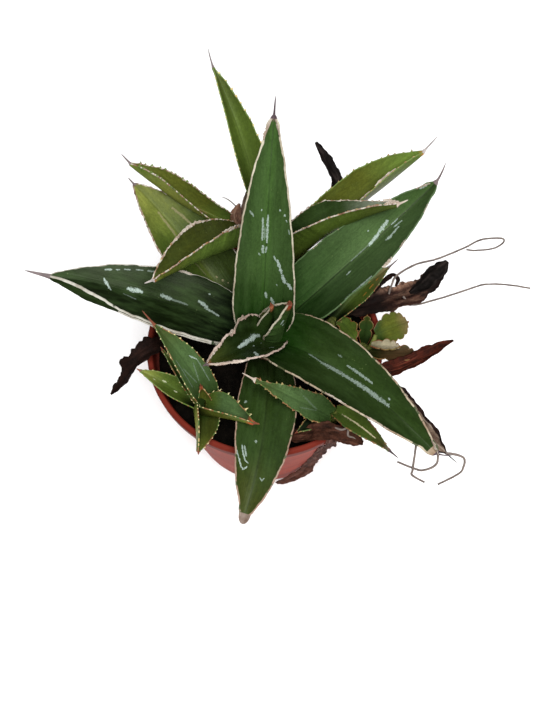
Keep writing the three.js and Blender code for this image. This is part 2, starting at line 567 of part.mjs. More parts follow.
// Height of the soil's surface: a low heap with clods.
function soilHeight(x, y) {
  const out = Math.hypot(x, y) / POT_RIM_INNER_RADIUS;
  const clods = 1.2 * Math.sin(x * 0.21 + 1) * Math.cos(y * 0.17) + 0.7 * Math.sin(x * 0.4 + y * 0.33);
  return SOIL_LEVEL + SOIL_HEAP * (1 - out * out) + clods * (1 - out * 0.4);
}

function soilSolid() {
  const floor = POT_FLOOR + GAP;
  const wallAt = (z) => potWallRadius(z) - POT_WALL - GAP - 0.1;
  const edgeHeight = SOIL_LEVEL - 2;
  const profile = [[0, floor], [wallAt(floor), floor], [wallAt(edgeHeight), edgeHeight]];
  for (const share of [0.86, 0.68, 0.48, 0.28, 0]) profile.push([wallAt(edgeHeight) * share, SOIL_LEVEL]);
  const body = new THREE.LatheGeometry(
    profile.map(([radius, height]) => new THREE.Vector2(radius, height)), POT_SEGMENTS);
  body.rotateX(Math.PI / 2);
  const position = body.getAttribute('position');
  for (let k = 0; k < position.count; k += 1) {
    if (position.getZ(k) > edgeHeight + 1) {
      position.setZ(k, soilHeight(position.getX(k), position.getY(k)));
    }
  }
  return toSolid(body);
}

// ---------------------------------------------------------------- putting it together
// Every plant piece is a recipe that can be drawn at true size or swollen by a clearance.
const recipes = [];
for (const stem of STEMS) {
  const limb = (path, sides, grow) => toSolid(limbGeometry(path, sides, path.length * 2 - 2, grow));
  const drawStem = (grow) => limb(stem.path, stem.sides, grow);
  const drawWithBulb = (grow) => drawStem(grow).add(limb(BRACT_BULB, BRACT_BULB_SIDES, grow));
  recipes.push({ name: stem.name, colour: stem.colour, draw: stem.bulb ? drawWithBulb : drawStem });
}
const leafSets = [
  [MAIN_LEAVES, 'blade'], [BACK_OFFSET_LEAVES, 'youngBlade'], [LEFT_OFFSET_LEAVES, 'youngBlade'],
  [RIGHT_OFFSET_LEAVES, 'youngBlade'], [EAST_OFFSET_LEAVES, 'youngBlade'], [COMPANION_LEAVES, 'companion'],
  [[DRY_UNDER_LEAF], 'dry'],
];
for (const [leaves, colour] of leafSets) {
  for (const leaf of leaves) {
    recipes.push({ name: leaf.name, colour,
      draw: (grow) => withFibres(toSolid(leafGeometry(leaf, grow)), leaf.name, grow) });
  }
}
for (const leaf of DRY_LEAVES) {
  recipes.push({ name: leaf.name, colour: 'dry',
    draw: (grow) => withFibres(toSolid(dryLeafGeometry(leaf, grow)), leaf.name, grow) });
}

const object = new THREE.Group();

function addPart(name, solid, colour) {
  const material = new THREE.MeshStandardMaterial({
    color: COLOURS[colour], roughness: colour === 'pot' ? 0.55 : 0.7, metalness: 0 });
  const mesh = new THREE.Mesh(toGeometry(solid), material);
  mesh.name = name;
  object.add(mesh);
}

// Earlier pieces stay whole; each later one gives way to them with the clearance.
const swollen = [];
for (const recipe of recipes) {
  let solid = recipe.draw(0);
  for (const earlier of swollen) {
    if (solid.intersect(earlier).volume() > 0) solid = largestPiece(solid.subtract(earlier));
  }
  swollen.push(recipe.draw(GAP));
  addPart(recipe.name, solid, recipe.colour);
}
addPart('pot', potSolid(), 'pot');
addPart('soil', largestPiece(swollen.reduce((soil, piece) => soil.subtract(piece), soilSolid())), 'soil');

export default object;
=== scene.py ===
# %% [markdown]
# # A queen victoria agave in its nursery pot
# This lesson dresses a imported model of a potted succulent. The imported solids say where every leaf,
# stem and wall is; each cell below puts a finer, natural-looking piece in the place of one or more
# of them. Everything is in metres in the end, but the tables of the plant are easier to read in
# millimetres, so they are written so and scaled once, when a mesh is made.

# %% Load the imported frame
import math

import bmesh
import bpy
import numpy as np
from mathutils import Matrix, Vector, geometry, noise


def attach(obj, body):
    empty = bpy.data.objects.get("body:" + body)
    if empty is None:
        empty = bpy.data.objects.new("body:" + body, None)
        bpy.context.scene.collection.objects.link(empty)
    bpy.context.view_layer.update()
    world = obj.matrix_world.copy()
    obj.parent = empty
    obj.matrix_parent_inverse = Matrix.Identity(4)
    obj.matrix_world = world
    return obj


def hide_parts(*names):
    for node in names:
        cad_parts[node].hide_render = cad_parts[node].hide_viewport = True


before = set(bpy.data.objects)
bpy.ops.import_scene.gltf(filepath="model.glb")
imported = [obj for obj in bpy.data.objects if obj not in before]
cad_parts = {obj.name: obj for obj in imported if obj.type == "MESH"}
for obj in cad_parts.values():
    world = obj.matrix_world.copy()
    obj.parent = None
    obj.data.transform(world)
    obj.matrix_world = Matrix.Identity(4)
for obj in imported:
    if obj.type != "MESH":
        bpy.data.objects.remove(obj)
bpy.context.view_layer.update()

MM = 0.001
SCENE = bpy.context.scene

# %% [markdown]
# ## Camera, floor and light
# The plant is looked at steeply from above and from its front, as someone does who stands at the
# table. A long-ish lens and no shift keep the pot round. The light is a plain soft studio: a pale
# world that fills the shadows a little, and one very large lamp overhead that makes the gloss on
# the leaves and lets the gaps between them go dark. The floor is pale and has no pattern.

# %% Camera
CAMERA_AT = Vector((1.4, -229.9, 636.0)) * MM
CAMERA_ELEVATION = 65.6  # degrees above the horizon
FOCAL_SHARE = 700 / 711  # focal length as a share of the picture's height
SENSOR = 36.0

lens_data = bpy.data.cameras.new("studio_camera")
lens_data.sensor_fit = "VERTICAL"
lens_data.sensor_height = SENSOR
lens_data.lens = SENSOR * FOCAL_SHARE
lens_data.clip_start = 0.01
camera = bpy.data.objects.new("studio_camera", lens_data)
camera.location = CAMERA_AT
camera.rotation_euler = (math.radians(90 - CAMERA_ELEVATION), 0, 0)
SCENE.collection.objects.link(camera)
SCENE.camera = camera
print("lens in mm:", round(lens_data.lens, 1))

# %% World and lamps
SCENE.view_settings.view_transform = "Standard"
world = bpy.data.worlds.new("pale_studio")
world.use_nodes = True
SCENE.world = world
sky = world.node_tree.nodes["Background"]
sky.inputs["Color"].default_value = (1.0, 1.0, 1.0, 1.0)
sky.inputs["Strength"].default_value = 0.4


def soft_lamp(name, place, target, size, power, colour=(1, 1, 1)):
    """A round area lamp, in metres, that looks at a point."""
    data = bpy.data.lights.new(name, "AREA")
    data.shape = "DISK"
    data.size = size
    data.energy = power
    data.color = colour
    lamp = bpy.data.objects.new(name, data)
    lamp.location = place
    lamp.rotation_euler = (Vector(target) - Vector(place)).to_track_quat("-Z", "Y").to_euler()
    SCENE.collection.objects.link(lamp)
    return lamp


soft_lamp("overhead_softbox", (0.12, -0.5, 1.45), (0, 0, 0.1), 1.0, 38)
soft_lamp("window_side", (-1.1, 0.7, 1.1), (0, 0, 0.15), 0.9, 4, (0.96, 0.98, 1.0))

# %% [markdown]
# ## Tools for shader nodes
# A node tree is a small machine for numbers and colours. Written out node by node it gets long, so
# an output is wrapped in a `Flow` here: arithmetic on it, and the functions below it, add the nodes
# that do the work. Colours of the plant are noted as they look on a screen (0 to 255), and turned
# into the linear values that shaders need.

# %% Node helpers
def paint(red, green, blue):
    """A screen colour as the linear colour of a shader."""
    shares = [v / 255 for v in (red, green, blue)]
    return (*(v / 12.92 if v <= 0.04045 else ((v + 0.055) / 1.055) ** 2.4 for v in shares), 1.0)


def feed(sockets, values):
    """Links an output into each socket that values names, or sets the socket's plain value."""
    for key, value in values.items():
        socket = sockets[key]
        if isinstance(value, Flow):
            socket.id_data.links.new(value.socket, socket)
        else:
            socket.default_value = value


def spaced(values):
    """Keyword names with spaces in the place of underscores, as sockets have them."""
    return {key.replace("_", " "): value for key, value in values.items()}


def add_node(tree, kind, inputs, output=0, **settings):
    """Adds a node, sets its properties and inputs, and hands back one of its outputs."""
    node = tree.nodes.new("ShaderNode" + kind)
    for key, value in settings.items():
        setattr(node, key, value)
    feed(node.inputs, inputs)
    return Flow(node.outputs[output])


class Flow:
    """An output of a node, on which arithmetic adds Math nodes."""

    def __init__(self, socket):
        self.socket, self.tree = socket, socket.id_data

    def math(self, operation, *others, clamp=False):
        inputs = dict(enumerate((self, *others)))
        return add_node(self.tree, "Math", inputs, operation=operation, use_clamp=clamp)

    def vector(self, operation, *others, output="Vector", **named):
        inputs = {**dict(enumerate((self, *others))), **named}
        return add_node(self.tree, "VectorMath", inputs, output, operation=operation)

    def line(self, slope, start):
        """This times slope, plus start."""
        return self.math("MULTIPLY_ADD", slope, start)

    def __abs__(self):
        return self.math("ABSOLUTE")

    def __add__(self, other):
        return self.math("ADD", other)

    def __sub__(self, other):
        return self.math("SUBTRACT", other)

    def __rsub__(self, other):
        return add_node(self.tree, "Math", {0: other, 1: self}, operation="SUBTRACT")

    def __mul__(self, other):
        return self.math("MULTIPLY", other)

    def __truediv__(self, other):
        return self.math("DIVIDE", other)

    def __pow__(self, other):
        return self.math("POWER", other)


def blend(share, a, b):
    """Goes from colour a to colour b as share goes from 0 to 1."""
    return add_node(share.tree, "Mix", {0: share, 6: a, 7: b}, 2, data_type="RGBA")


def ease(value, low, high):
    """Smooth step of a value between low and high."""
    limits = {"Value": value, "From Min": low, "From Max": high}
    return add_node(value.tree, "MapRange", limits, "Result", interpolation_type="SMOOTHSTEP")


def grain(chart, stretch, detail=3.0, roughness=0.55, seed=0.0, scale=1.0):
    """Noise between 0 and 1 in a stretched space."""
    stretched = chart.vector("MULTIPLY", stretch)
    inputs = dict(Vector=stretched, W=seed, Scale=scale, Detail=detail, Roughness=roughness)
    return add_node(chart.tree, "TexNoise", inputs, "Fac", noise_dimensions="4D")


def cells(chart, stretch):
    """Distance to the nearest of many scattered points."""
    inputs = dict(Vector=chart.vector("MULTIPLY", stretch), Scale=1.0)
    return add_node(chart.tree, "TexVoronoi", inputs, "Distance")


def split(vector):
    """The three parts of a vector."""
    node = vector.tree.nodes.new("ShaderNodeSeparateXYZ")
    feed(node.inputs, {0: vector})
    return [Flow(socket) for socket in node.outputs]


SURFACE = {"Color": "Color", "Roughness": 0.0, "Height": 0.0}


def new_group(name, inputs, outputs=SURFACE):
    """A node group. Each socket has the name of its kind, or a plain value that tells the kind."""
    tree = bpy.data.node_groups.new(name, "ShaderNodeTree")
    for way, sockets in (("INPUT", inputs), ("OUTPUT", outputs)):
        for title, value in sockets.items():
            kind = value if isinstance(value, str) else "Float" if isinstance(value, float) else "Vector"
            made = tree.interface.new_socket(title, in_out=way, socket_type="NodeSocket" + kind)
            if kind != value:
                made.default_value = value
    given = {socket.name: Flow(socket) for socket in tree.nodes.new("NodeGroupInput").outputs}
    return tree, given, tree.nodes.new("NodeGroupOutput").inputs


def place_group(tree, group, **values):
    """Places a group in a tree and hands back its outputs by name."""
    node = tree.nodes.new("ShaderNodeGroup")
    node.node_tree = group
    feed(node.inputs, spaced(values))
    return {socket.name: Flow(socket) for socket in node.outputs}


def new_material(name, **constants):
    """A material with a Principled shader; constants are set on the shader's own sockets."""
    material = bpy.data.materials.new(name)
    material.use_nodes = True
    shader = material.node_tree.nodes["Principled BSDF"]
    feed(shader.inputs, spaced(constants))
    return material, material.node_tree, shader


def dress(shader, tone, rough, height, strength, distance):
    """Feeds a shader's colour and roughness, and a bump of some strength and distance in metres."""
    relief = dict(Strength=strength, Distance=distance, Height=height)
    normal = add_node(shader.id_data, "Bump", relief, "Normal")
    feed(shader.inputs, {"Base Color": tone, "Roughness": rough, "Normal": normal})


def uv_of(tree, name):
    return add_node(tree, "UVMap", {}, "UV", uv_map=name)


def place_of(tree):
    """Where a surface point is in the row frame, in centimetres."""
    return add_node(tree, "TexCoord", {}, "Object").vector("SCALE", Scale=100.0)


print("middle grey as a shader sees it:", [round(v, 3) for v in paint(128, 128, 128)])

# %% [markdown]
# ## Floor
# A wide plane at the pot's foot, in a pale matt finish. It is staging and not part of the plant.

# %% Floor
FLOOR_REACH = 4  # metres from the middle to each side
corners = [(x * FLOOR_REACH, y * FLOOR_REACH, 0) for x, y in ((-1, -1), (1, -1), (1, 1), (-1, 1))]
floor_mesh = bpy.data.meshes.new("studio_floor")
floor_mesh.from_pydata(corners, [], [(0, 1, 2, 3)])
floor_object = bpy.data.objects.new("studio_floor", floor_mesh)
SCENE.collection.objects.link(floor_object)
floor_finish, floor_tree, floor_shader = new_material("pale_floor", Roughness=0.9)
cloudy = ease(grain(place_of(floor_tree), (0.05, 0.05, 0.05)), 0.3, 0.7)
feed(floor_shader.inputs, {"Base Color": blend(cloudy, paint(240, 240, 240), paint(243, 243, 243))})
floor_mesh.materials.append(floor_finish)
print("floor:", floor_object.name)

# %% [markdown]
# ## The flesh of a leaf
# An agave leaf is thick, waxy and built of fibres that run its length. Its green isn't even: the
# foot is a deeper green with painted shade from deep in the rosette on top of it, the middle carries
# a bloom of wax whose paler tone is partly a painted sheen, the fold along the middle is a thin
# dark line of painted shade, one half of a leaf may be darkened as painted shade, and long faint
# stripes follow the fibres. One shader group holds all of that and every leaf sets its own greens.
# It reads two maps of the leaf: `leaf_share` (across from -1 to 1, along from 0 to 1), for what
# belongs to a place on the leaf, and `leaf_map` in centimetres, so that grain has the same size on
# a small leaf as on a large one.

# %% Leaf flesh group
# The bloom tone stands for pale wax bloom and also for a painted sheen.
BLOOM_AND_SHEEN_TONE = paint(60, 82, 44)
SPECK_TONE = paint(128, 144, 90)
RUST_TONE = paint(112, 84, 58)


def make_flesh_group():
    tree, i, o = new_group("leaf_flesh", {
        "Share": "Vector", "Map": "Vector", "Foot": "Color", "Middle": "Color", "Tip": "Color",
        "Rib": "Color", "Rib Share": 0.3, "Edge Shade": 0.3, "Bloom": 0.3, "Left Shade": 0.0,
        "Right Shade": 0.0, "Brown Specks": 0.0, "Fold": 0.0, "Foot Reach": 0.42, "Seed": 0.0})
    chart, seed = i["Map"], i["Seed"]
    across, along, _ = split(i["Share"])
    across_cm = split(chart)[0]
    clouds = grain(chart, (0.8, 0.35, 1), 3.0, 0.5, seed)
    stripes = grain(chart, (5.0, 0.22, 1), 3.0, 0.6, seed)
    fibres = grain(chart, (28.0, 0.9, 1), 2.0, 0.6, seed)
    pores = grain(chart, (15.0, 10.0, 1), 3.0, 0.7, seed)
    mottle = grain(chart, (6.0, 3.5, 1), 3.0, 0.65, seed)
    shifted = along + clouds.line(0.22, -0.11)
    # From foot to middle to tip; a dark foot tone is partly painted shade from deep in the rosette.
    tone = blend(ease(shifted, 0.1, i["Foot Reach"]), i["Foot"], i["Middle"])
    tone = blend(ease(shifted, 0.6, 0.98), tone, i["Tip"])
    tone = blend(ease(abs(across_cm), 0.55, 0.0) * i["Rib Share"], tone, i["Rib"])
    light = stripes.line(0.5, 0.75) * mottle.line(1.0, 0.5) * clouds.line(0.5, 0.75)
    light = light * fibres.line(0.3, 0.85) * pores.line(1.1, 0.45)
    light = light * (1.0 - abs(across) ** 3.0 * i["Edge Shade"])
    # A thin dark line along the fold and faint dark lines beside it: painted shade in the creases.
    fold_line = ease(abs(across_cm + stripes.line(0.12, -0.06)), 0.11, 0.02)
    side_crease_shade = ease(grain(chart, (7.0, 0.16, 1), 2.0, 0.5, seed + 3.0), 0.6, 0.68)
    light = light * (1.0 - fold_line.math("MAXIMUM", side_crease_shade * 0.35) * i["Fold"])
    # Left Shade and Right Shade darken one half of the leaf as a whole: painted shade of the half turned from
    # the light.
    for way, key in ((1.0, "Left Shade"), (-1.0, "Right Shade")):
        light = light * (1.0 - ease(across * way, -0.06, 0.14) * i[key])
    tone = tone.vector("SCALE", Scale=light)
    # Patches of wax bloom whose paler tone is partly a painted sheen; they also roughen the surface.
    bloom_sheen_mask = ease(grain(chart, (1.7, 0.45, 1), 4.0, 0.6, seed), 0.35, 0.75) * i["Bloom"]
    tone = blend(bloom_sheen_mask, tone, BLOOM_AND_SHEEN_TONE)
    specks = ease(cells(chart, (5.0, 3.0, 1)), 0.11, 0.03)
    chosen = ease(grain(chart, (1.3, 1.3, 1), 2.0, 0.5, seed), 0.52, 0.66)
    tone = blend(specks * chosen * 0.75, tone, SPECK_TONE)
    rust = ease(cells(chart, (2.6, 1.9, 1)), 0.16, 0.05)
    tone = blend(rust * i["Brown Specks"], tone, RUST_TONE)
    feed(o, {"Color": tone, "Roughness": bloom_sheen_mask.line(0.3, clouds.line(0.2, 0.24)),
             "Height": pores.line(0.14, fibres.line(0.5, stripes * 0.9))})
    return tree


LEAF_FLESH = make_flesh_group()
print("group:", LEAF_FLESH.name, [s.name for s in LEAF_FLESH.interface.items_tree])

# %% [markdown]
# ## White bud marks
# While the leaves were packed in the bud, each pressed on its neighbour. Where the wax and skin tore
# apart they left whitish papery streaks, mostly lengthwise. They have no thickness to speak of, so
# they are painted: a group measures how far a point of the leaf is from a short line on the leaf's
# map, and breaks the edge up with grain that follows the fibres. Every streak is one copy of the
# group with its own two ends.

# %% Papery streak group
FRAY = 3.575  # how strongly grain frays the edge of a streak


def make_streak_group():
    tree, i, o = new_group("papery_streak", {
        "Map": "Vector", "From": "Vector", "To": "Vector", "Half Width": 0.1}, {"Mask": 0.0})
    chart = i["Map"]
    reach = chart.vector("SUBTRACT", i["From"])
    line = i["To"].vector("SUBTRACT", i["From"])
    along = reach.vector("DOT_PRODUCT", line, output="Value").math(
        "DIVIDE", line.vector("DOT_PRODUCT", line, output="Value"), clamp=True)
    nearest = line.vector("SCALE", Scale=along)
    distance = reach.vector("SUBTRACT", nearest).vector("LENGTH", output="Value")
    swell = (abs(along.line(2.0, -1.0)) ** 2.5).line(-0.3, 1.0)
    ratio = distance / (swell * i["Half Width"])
    shreds = grain(chart, (10.0, 12.0, 1), 3.0, 0.7)
    patches = grain(chart, (3.6, 4.6, 1), 4.0, 0.7, 3.0)
    strokes = grain(chart, (5.0, 17.0, 1), 2.0, 0.6, 7.0)
    torn = ((shreds - 0.5) + (patches - 0.5)) * FRAY
    solid = ease(ratio + torn, 1.1, 0.85)
    feed(o, {"Mask": solid * ease(strokes, 0.38, 0.55).line(0.5, 0.5)})
    return tree


PAPERY_STREAK = make_streak_group()
print("group:", PAPERY_STREAK.name)

# %% [markdown]
# ## Horn, spine and dead tissue
# The margin of a leaf is a thin strip of horn: cream where it is fresh, tan and brown in patches
# where it has weathered, with gaps where the skin shows. The spine at the tip is the same stuff,
# darker and greyer. Dead leaves go through all the browns, crease lengthwise, and collect pale dust
# on whatever faces up. Two groups cover these: `horn` takes three tones and the skin's, and
# `dead_tissue` takes three tones and a share of dust.

# %% Horn and dead tissue groups
DUST_TONE = paint(128, 102, 86)
CHARRED_TONE = paint(15, 11, 10)


def make_horn_group():
    tree, i, o = new_group("horn", {
        "Map": "Vector", "Pale": "Color", "Tan": "Color", "Dark": "Color", "Dark Share": 0.3,
        "Skin": "Color", "Skin Share": 0.0, "Patch": 1.0, "Seed": 0.0})
    chart, seed = i["Map"], i["Seed"]
    long_patch = grain(chart, (0.4, 0.9, 0.9), 3.0, 0.6, seed, i["Patch"])
    small_patch = grain(chart, (3.0, 3.0, 3.0), 3.0, 0.6, seed)
    lines = grain(chart, (30.0, 3.0, 3.0), 2.0, 0.6, seed)
    tone = blend(ease(long_patch, 0.35, 0.65), i["Pale"], i["Tan"])
    weathered = ease(small_patch, 0.55, 0.72) + ease(long_patch, 0.6, 0.78)
    tone = blend(weathered.math("MULTIPLY", i["Dark Share"], clamp=True), tone, i["Dark"])
    gaps = grain(chart, (1.0, 1.6, 1.0), 3.0, 0.6, seed + 5.0)
    bare = ease(i["Skin Share"].line(0.5, 0.25) - gaps, -0.02, 0.03)
    tone = blend(bare, tone, i["Skin"]).vector("SCALE", Scale=lines.line(0.5, 0.75))
    feed(o, {"Color": tone, "Roughness": small_patch.line(0.2, 0.42), "Height": lines + small_patch})
    return tree


def make_dead_group():
    tree, i, o = new_group("dead_tissue", {
        "Map": "Vector", "Dark": "Color", "Middle": "Color", "Light": "Color", "Light Share": 0.4,
        "Dust": 0.3, "Stretch": (4.0, 0.7, 1.0), "Seed": 0.0})
    chart, seed = i["Map"], i["Seed"]
    mottle = grain(chart, (2.2, 1.6, 1.9), 4.0, 0.65, seed)
    creases = grain(chart, i["Stretch"], 4.0, 0.6, seed)
    fine = grain(chart, (16.0, 12.0, 14.0), 3.0, 0.6, seed)
    tone = blend(ease(mottle, 0.34, 0.62), i["Dark"], i["Middle"])
    tone = blend(ease(creases, 0.48, 0.7) * i["Light Share"], tone, i["Light"])
    tone = tone.vector("SCALE", Scale=fine.line(0.7, 0.65))
    facing_up = ease(split(add_node(tree, "NewGeometry", {}, "Normal"))[2], 0.35, 0.95)
    powder = facing_up * ease(fine, 0.45, 0.75) * i["Dust"]
    feed(o, {"Color": blend(powder, tone, DUST_TONE), "Roughness": fine.line(0.25, 0.55),
             "Height": fine.line(0.3, creases + mottle)})
    return tree


HORN = make_horn_group()
DEAD_TISSUE = make_dead_group()
print("groups:", HORN.name, DEAD_TISSUE.name)

# %% [markdown]
# ## Materials of the living leaves
# Each leaf gets a material for its upper face, with its own greens and streaks, and another one for
# its underside. Margins, teeth and spines share theirs. The gloss comes from the shader: wax gives
# a broad, soft shine, so the roughness stays in the middle; the bloom's tone adds a painted sheen
# over it.

# %% Material makers
WAX_TINT = (0.75, 0.9, 0.6, 1.0)


def flesh_material(name, tones, look, streaks, seed, gloss):
    """Leaf skin. tones are for foot, middle and tip; a streak is (from, to, half width) in cm, share."""
    material, tree, shader = new_material(name, Specular_IOR_Level=gloss, Specular_Tint=WAX_TINT)
    share, chart = uv_of(tree, "leaf_share"), uv_of(tree, "leaf_map")
    foot, middle, tip = (paint(*tone) for tone in tones)
    flesh = place_group(tree, LEAF_FLESH, Share=share, Map=chart, Foot=foot, Middle=middle, Tip=tip,
                        Rib=paint(*look["rib"]) if look["rib"] else middle, Rib_Share=look["rib_share"],
                        Edge_Shade=look["edge"], Bloom=look["bloom"], Left_Shade=look["shade"][0],
                        Right_Shade=look["shade"][1], Brown_Specks=look["brown_specks"],
                        Fold=look["fold"], Foot_Reach=look["foot_reach"], Seed=seed)
    tone, rough, height = flesh["Color"], flesh["Roughness"], flesh["Height"]
    mask = None
    for start, end, half, strength in streaks:
        one = place_group(tree, PAPERY_STREAK, Map=chart, From=start, To=end, Half_Width=half)
        one = one["Mask"] * strength
        mask = mask.math("MAXIMUM", one) if mask else one
    if mask:
        tone = blend(mask, tone, paint(*look["streak_tone"]))
        rough = mask.line(0.2, rough)
        height = mask.line(0.8, height)
    if look["brown_tip"]:
        dried = ease(split(share)[1], 1.0 - look["brown_tip"], 1.0 - look["brown_tip"] * 0.3)
        tone = blend(dried, tone, paint(*look["tip_tone"]))
    dress(shader, tone, rough, height, 0.35, 0.0006)
    return material


def horn_material(name, pale, tan, dark, dark_share, seed, skin=(60, 76, 34), skin_share=0.0, patch=1.0):
    material, tree, shader = new_material(name, Specular_IOR_Level=0.25)
    horn = place_group(tree, HORN, Map=uv_of(tree, "leaf_map"), Pale=paint(*pale), Tan=paint(*tan),
                       Dark=paint(*dark), Dark_Share=dark_share, Skin=paint(*skin),
                       Skin_Share=skin_share, Patch=patch, Seed=seed)
    dress(shader, horn["Color"], horn["Roughness"], horn["Height"], 0.4, 0.0004)
    return material


def dead_material(name, dark, middle, light, light_share, dust, seed, solid_space=False,
                  stretch=(4.0, 0.7, 1.0), depth=0.0012, black_ends=None):
    """Dead skin. black_ends gives the shares where the foot stops and the end starts to be black;
    with it comes a pale band along one edge, a painted highlight.
    """
    material, tree, shader = new_material(name, Specular_IOR_Level=0.04)
    chart = place_of(tree) if solid_space else uv_of(tree, "leaf_map")
    dead = place_group(tree, DEAD_TISSUE, Map=chart, Dark=paint(*dark), Middle=paint(*middle),
                       Light=paint(*light), Light_Share=light_share, Dust=dust, Seed=seed, Stretch=stretch)
    tone = dead["Color"]
    if black_ends:
        foot, end = black_ends
        across, along, _ = split(uv_of(tree, "leaf_share"))
        rough_edge = grain(chart, (1.6, 1.6, 1.6), 4.0, 0.7, seed + 4)
        shifted = along + rough_edge.line(0.4, -0.2)
        # A pale band along one edge: a painted highlight.
        painted_highlight_band = ease(across, 0.55, 0.85) * ease(rough_edge, 0.35, 0.55)
        tone = blend(painted_highlight_band * 0.7, tone, paint(*light))
        black = ease(shifted, foot, foot * 0.55).math("MAXIMUM", ease(shifted, end, end + 0.1))
        tone = blend(black * 0.85, tone, CHARRED_TONE)
    dress(shader, tone, dead["Roughness"], dead["Height"], 0.6, depth)
    return material


print("makers fill", LEAF_FLESH.name, PAPERY_STREAK.name, HORN.name, DEAD_TISSUE.name)

# %% Finishes of margins, teeth and spines
PALE_HORN = horn_material("cream_horn", (160, 154, 136), (128, 118, 100), (78, 60, 46), 0.5, 0.0,
                          (70, 76, 50), 0.1)
THIN_HORN = horn_material("broken_cream_horn", (150, 140, 120), (118, 98, 78), (80, 56, 42), 0.5, 1.0,
                          (56, 62, 36), 0.42)
PAPERY_HORN = horn_material("papery_horn", (160, 146, 136), (134, 114, 102), (92, 62, 50), 0.45, 1.5)
WHITE_HORN = horn_material("greyish_horn", (160, 158, 148), (128, 122, 110), (80, 66, 54), 0.4, 3.0,
                           (44, 54, 34), 0.2)
FLAKED_HORN = horn_material("flaked_horn", (172, 166, 154), (104, 72, 52), (38, 23, 17), 0.95, 2.0,
                            (58, 68, 26), 0.3, 3.2)
RUST_HORN = horn_material("rusty_horn", (112, 94, 56), (98, 58, 34), (70, 34, 22), 0.6, 9.0,
                          (62, 82, 36), 0.55, 1.8)
GREEN_HORN = horn_material("green_edge", (96, 106, 52), (80, 80, 38), (72, 50, 30), 0.5, 10.0,
                           (84, 102, 44), 0.7)
FINE_HORN = horn_material("fine_broken_horn", (150, 130, 112), (112, 92, 74), (80, 60, 44), 0.5, 11.0,
                          (58, 78, 44), 0.75)
TAN_HORN = horn_material("tan_horn", (134, 114, 98), (116, 92, 76), (84, 58, 46), 0.5, 13.0,
                         (56, 64, 34), 0.4)
TOOTH_HORN = horn_material("tooth_horn", (142, 126, 82), (116, 78, 44), (92, 46, 26), 0.6, 4.0)
PALE_TOOTH = horn_material("pale_tooth", (186, 178, 134), (168, 148, 96), (150, 92, 50), 0.4, 5.0)
GREY_SPINE = horn_material("grey_spine", (104, 92, 92), (74, 62, 62), (44, 36, 38), 0.6, 6.0)
DARK_SPINE = horn_material("dark_spine", (74, 60, 64), (50, 38, 42), (26, 20, 24), 0.6, 6.5)
ASH_SPINE = horn_material("ash_spine", (170, 162, 158), (126, 116, 114), (76, 68, 70), 0.4, 6.8)
RED_SPINE = horn_material("red_spine", (114, 64, 42), (92, 46, 30), (56, 26, 19), 0.7, 7.0)
PAPER = horn_material("dry_papery_skin", (176, 166, 154), (138, 122, 108), (92, 68, 56), 0.4, 8.0)
WORN_CAP = horn_material("worn_cap", (118, 104, 94), (92, 74, 62), (56, 40, 33), 0.6, 14.0, patch=2.0)
print("materials so far:", len(bpy.data.materials))

# %% [markdown]
# ## How a leaf is drawn
# A leaf is a sweep: a midline that bends as it goes, and across it a gutter-shaped section that
# changes from foot to tip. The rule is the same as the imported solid's, so the fine leaf lies where
# the coarse one does, but it has many more rows, a rounded horny bead along each edge whose width
# wanders, a crease that sharpens towards the tip, teeth of their own size, and a needle-like spine.
# Numpy handles whole tables of points at once, which keeps this quick.

# %% The midline and the outline of a leaf
MIDLINE_STEPS = 48
SPINE_START = 0.985  # share of the length where the blade gives way to the spine
CAP_START = 0.982  # share of the length from which a leaf wears its spine's horn
SPINE_RADIUS = 1.1
RIM_THICKNESS = 1.3
SLIM_RIM_THICKNESS = 0.9
NO_SPINE = 0.5  # radius and reach of a tip without a spine
FULL_TURN = 6.28


def wander(x, seed, octaves=4):
    """A smooth random wave along x, between about -1 and 1."""
    dice = np.random.default_rng(seed)
    total, size = 0.0, 0.0
    for k in range(octaves):
        total = total + np.sin(x * 1.83 ** k + dice.uniform(0, FULL_TURN)) * 0.62 ** k
        size += 0.62 ** k
    return total / size * 1.3


def crumple(x, y, seed, waves=9):
    """A smooth random relief over x and y, between about -1 and 1."""
    dice = np.random.default_rng(seed)
    total, size = 0.0, 0.0
    for k in range(waves):
        turn, scale = dice.uniform(0, FULL_TURN), 1.35 ** k
        across = (x * math.cos(turn) + y * math.sin(turn)) * scale
        total = total + np.sin(across + dice.uniform(0, FULL_TURN)) / scale ** 0.7
        size += 1 / scale ** 0.7
    return total / size * 1.8


def leaf_frames(leaf, share):
    """Centre, forward, left and up of the midline at each share of the length, in mm."""
    share = np.asarray(share, float)

    def direction(s):
        heading = np.radians(leaf["heading"] + leaf["turn"] * s)
        rise = np.radians(leaf["rise"][0] + (leaf["rise"][1] - leaf["rise"][0]) * s)
        flat = np.cos(rise)
        return np.stack([flat * np.cos(heading), flat * np.sin(heading), np.sin(rise)], -1), heading

    middles = (np.arange(MIDLINE_STEPS) + 0.5) / MIDLINE_STEPS
    steps, _ = direction(middles)
    points = np.vstack([[0, 0, 0], np.cumsum(steps, 0) * leaf["length"] / MIDLINE_STEPS]) + leaf["base"]
    knots = np.arange(MIDLINE_STEPS + 1) / MIDLINE_STEPS
    centre = np.stack([np.interp(share, knots, points[:, k]) for k in range(3)], -1)
    forward, heading = direction(share)
    level = np.stack([-np.sin(heading), np.cos(heading), 0 * heading], -1)
    level_up = np.cross(forward, level)
    roll = np.radians(leaf["roll"][0] + (leaf["roll"][1] - leaf["roll"][0]) * share)[:, None]
    left = level * np.cos(roll) + level_up * np.sin(roll)
    up = level_up * np.cos(roll) - level * np.sin(roll)
    return centre, forward, left, up


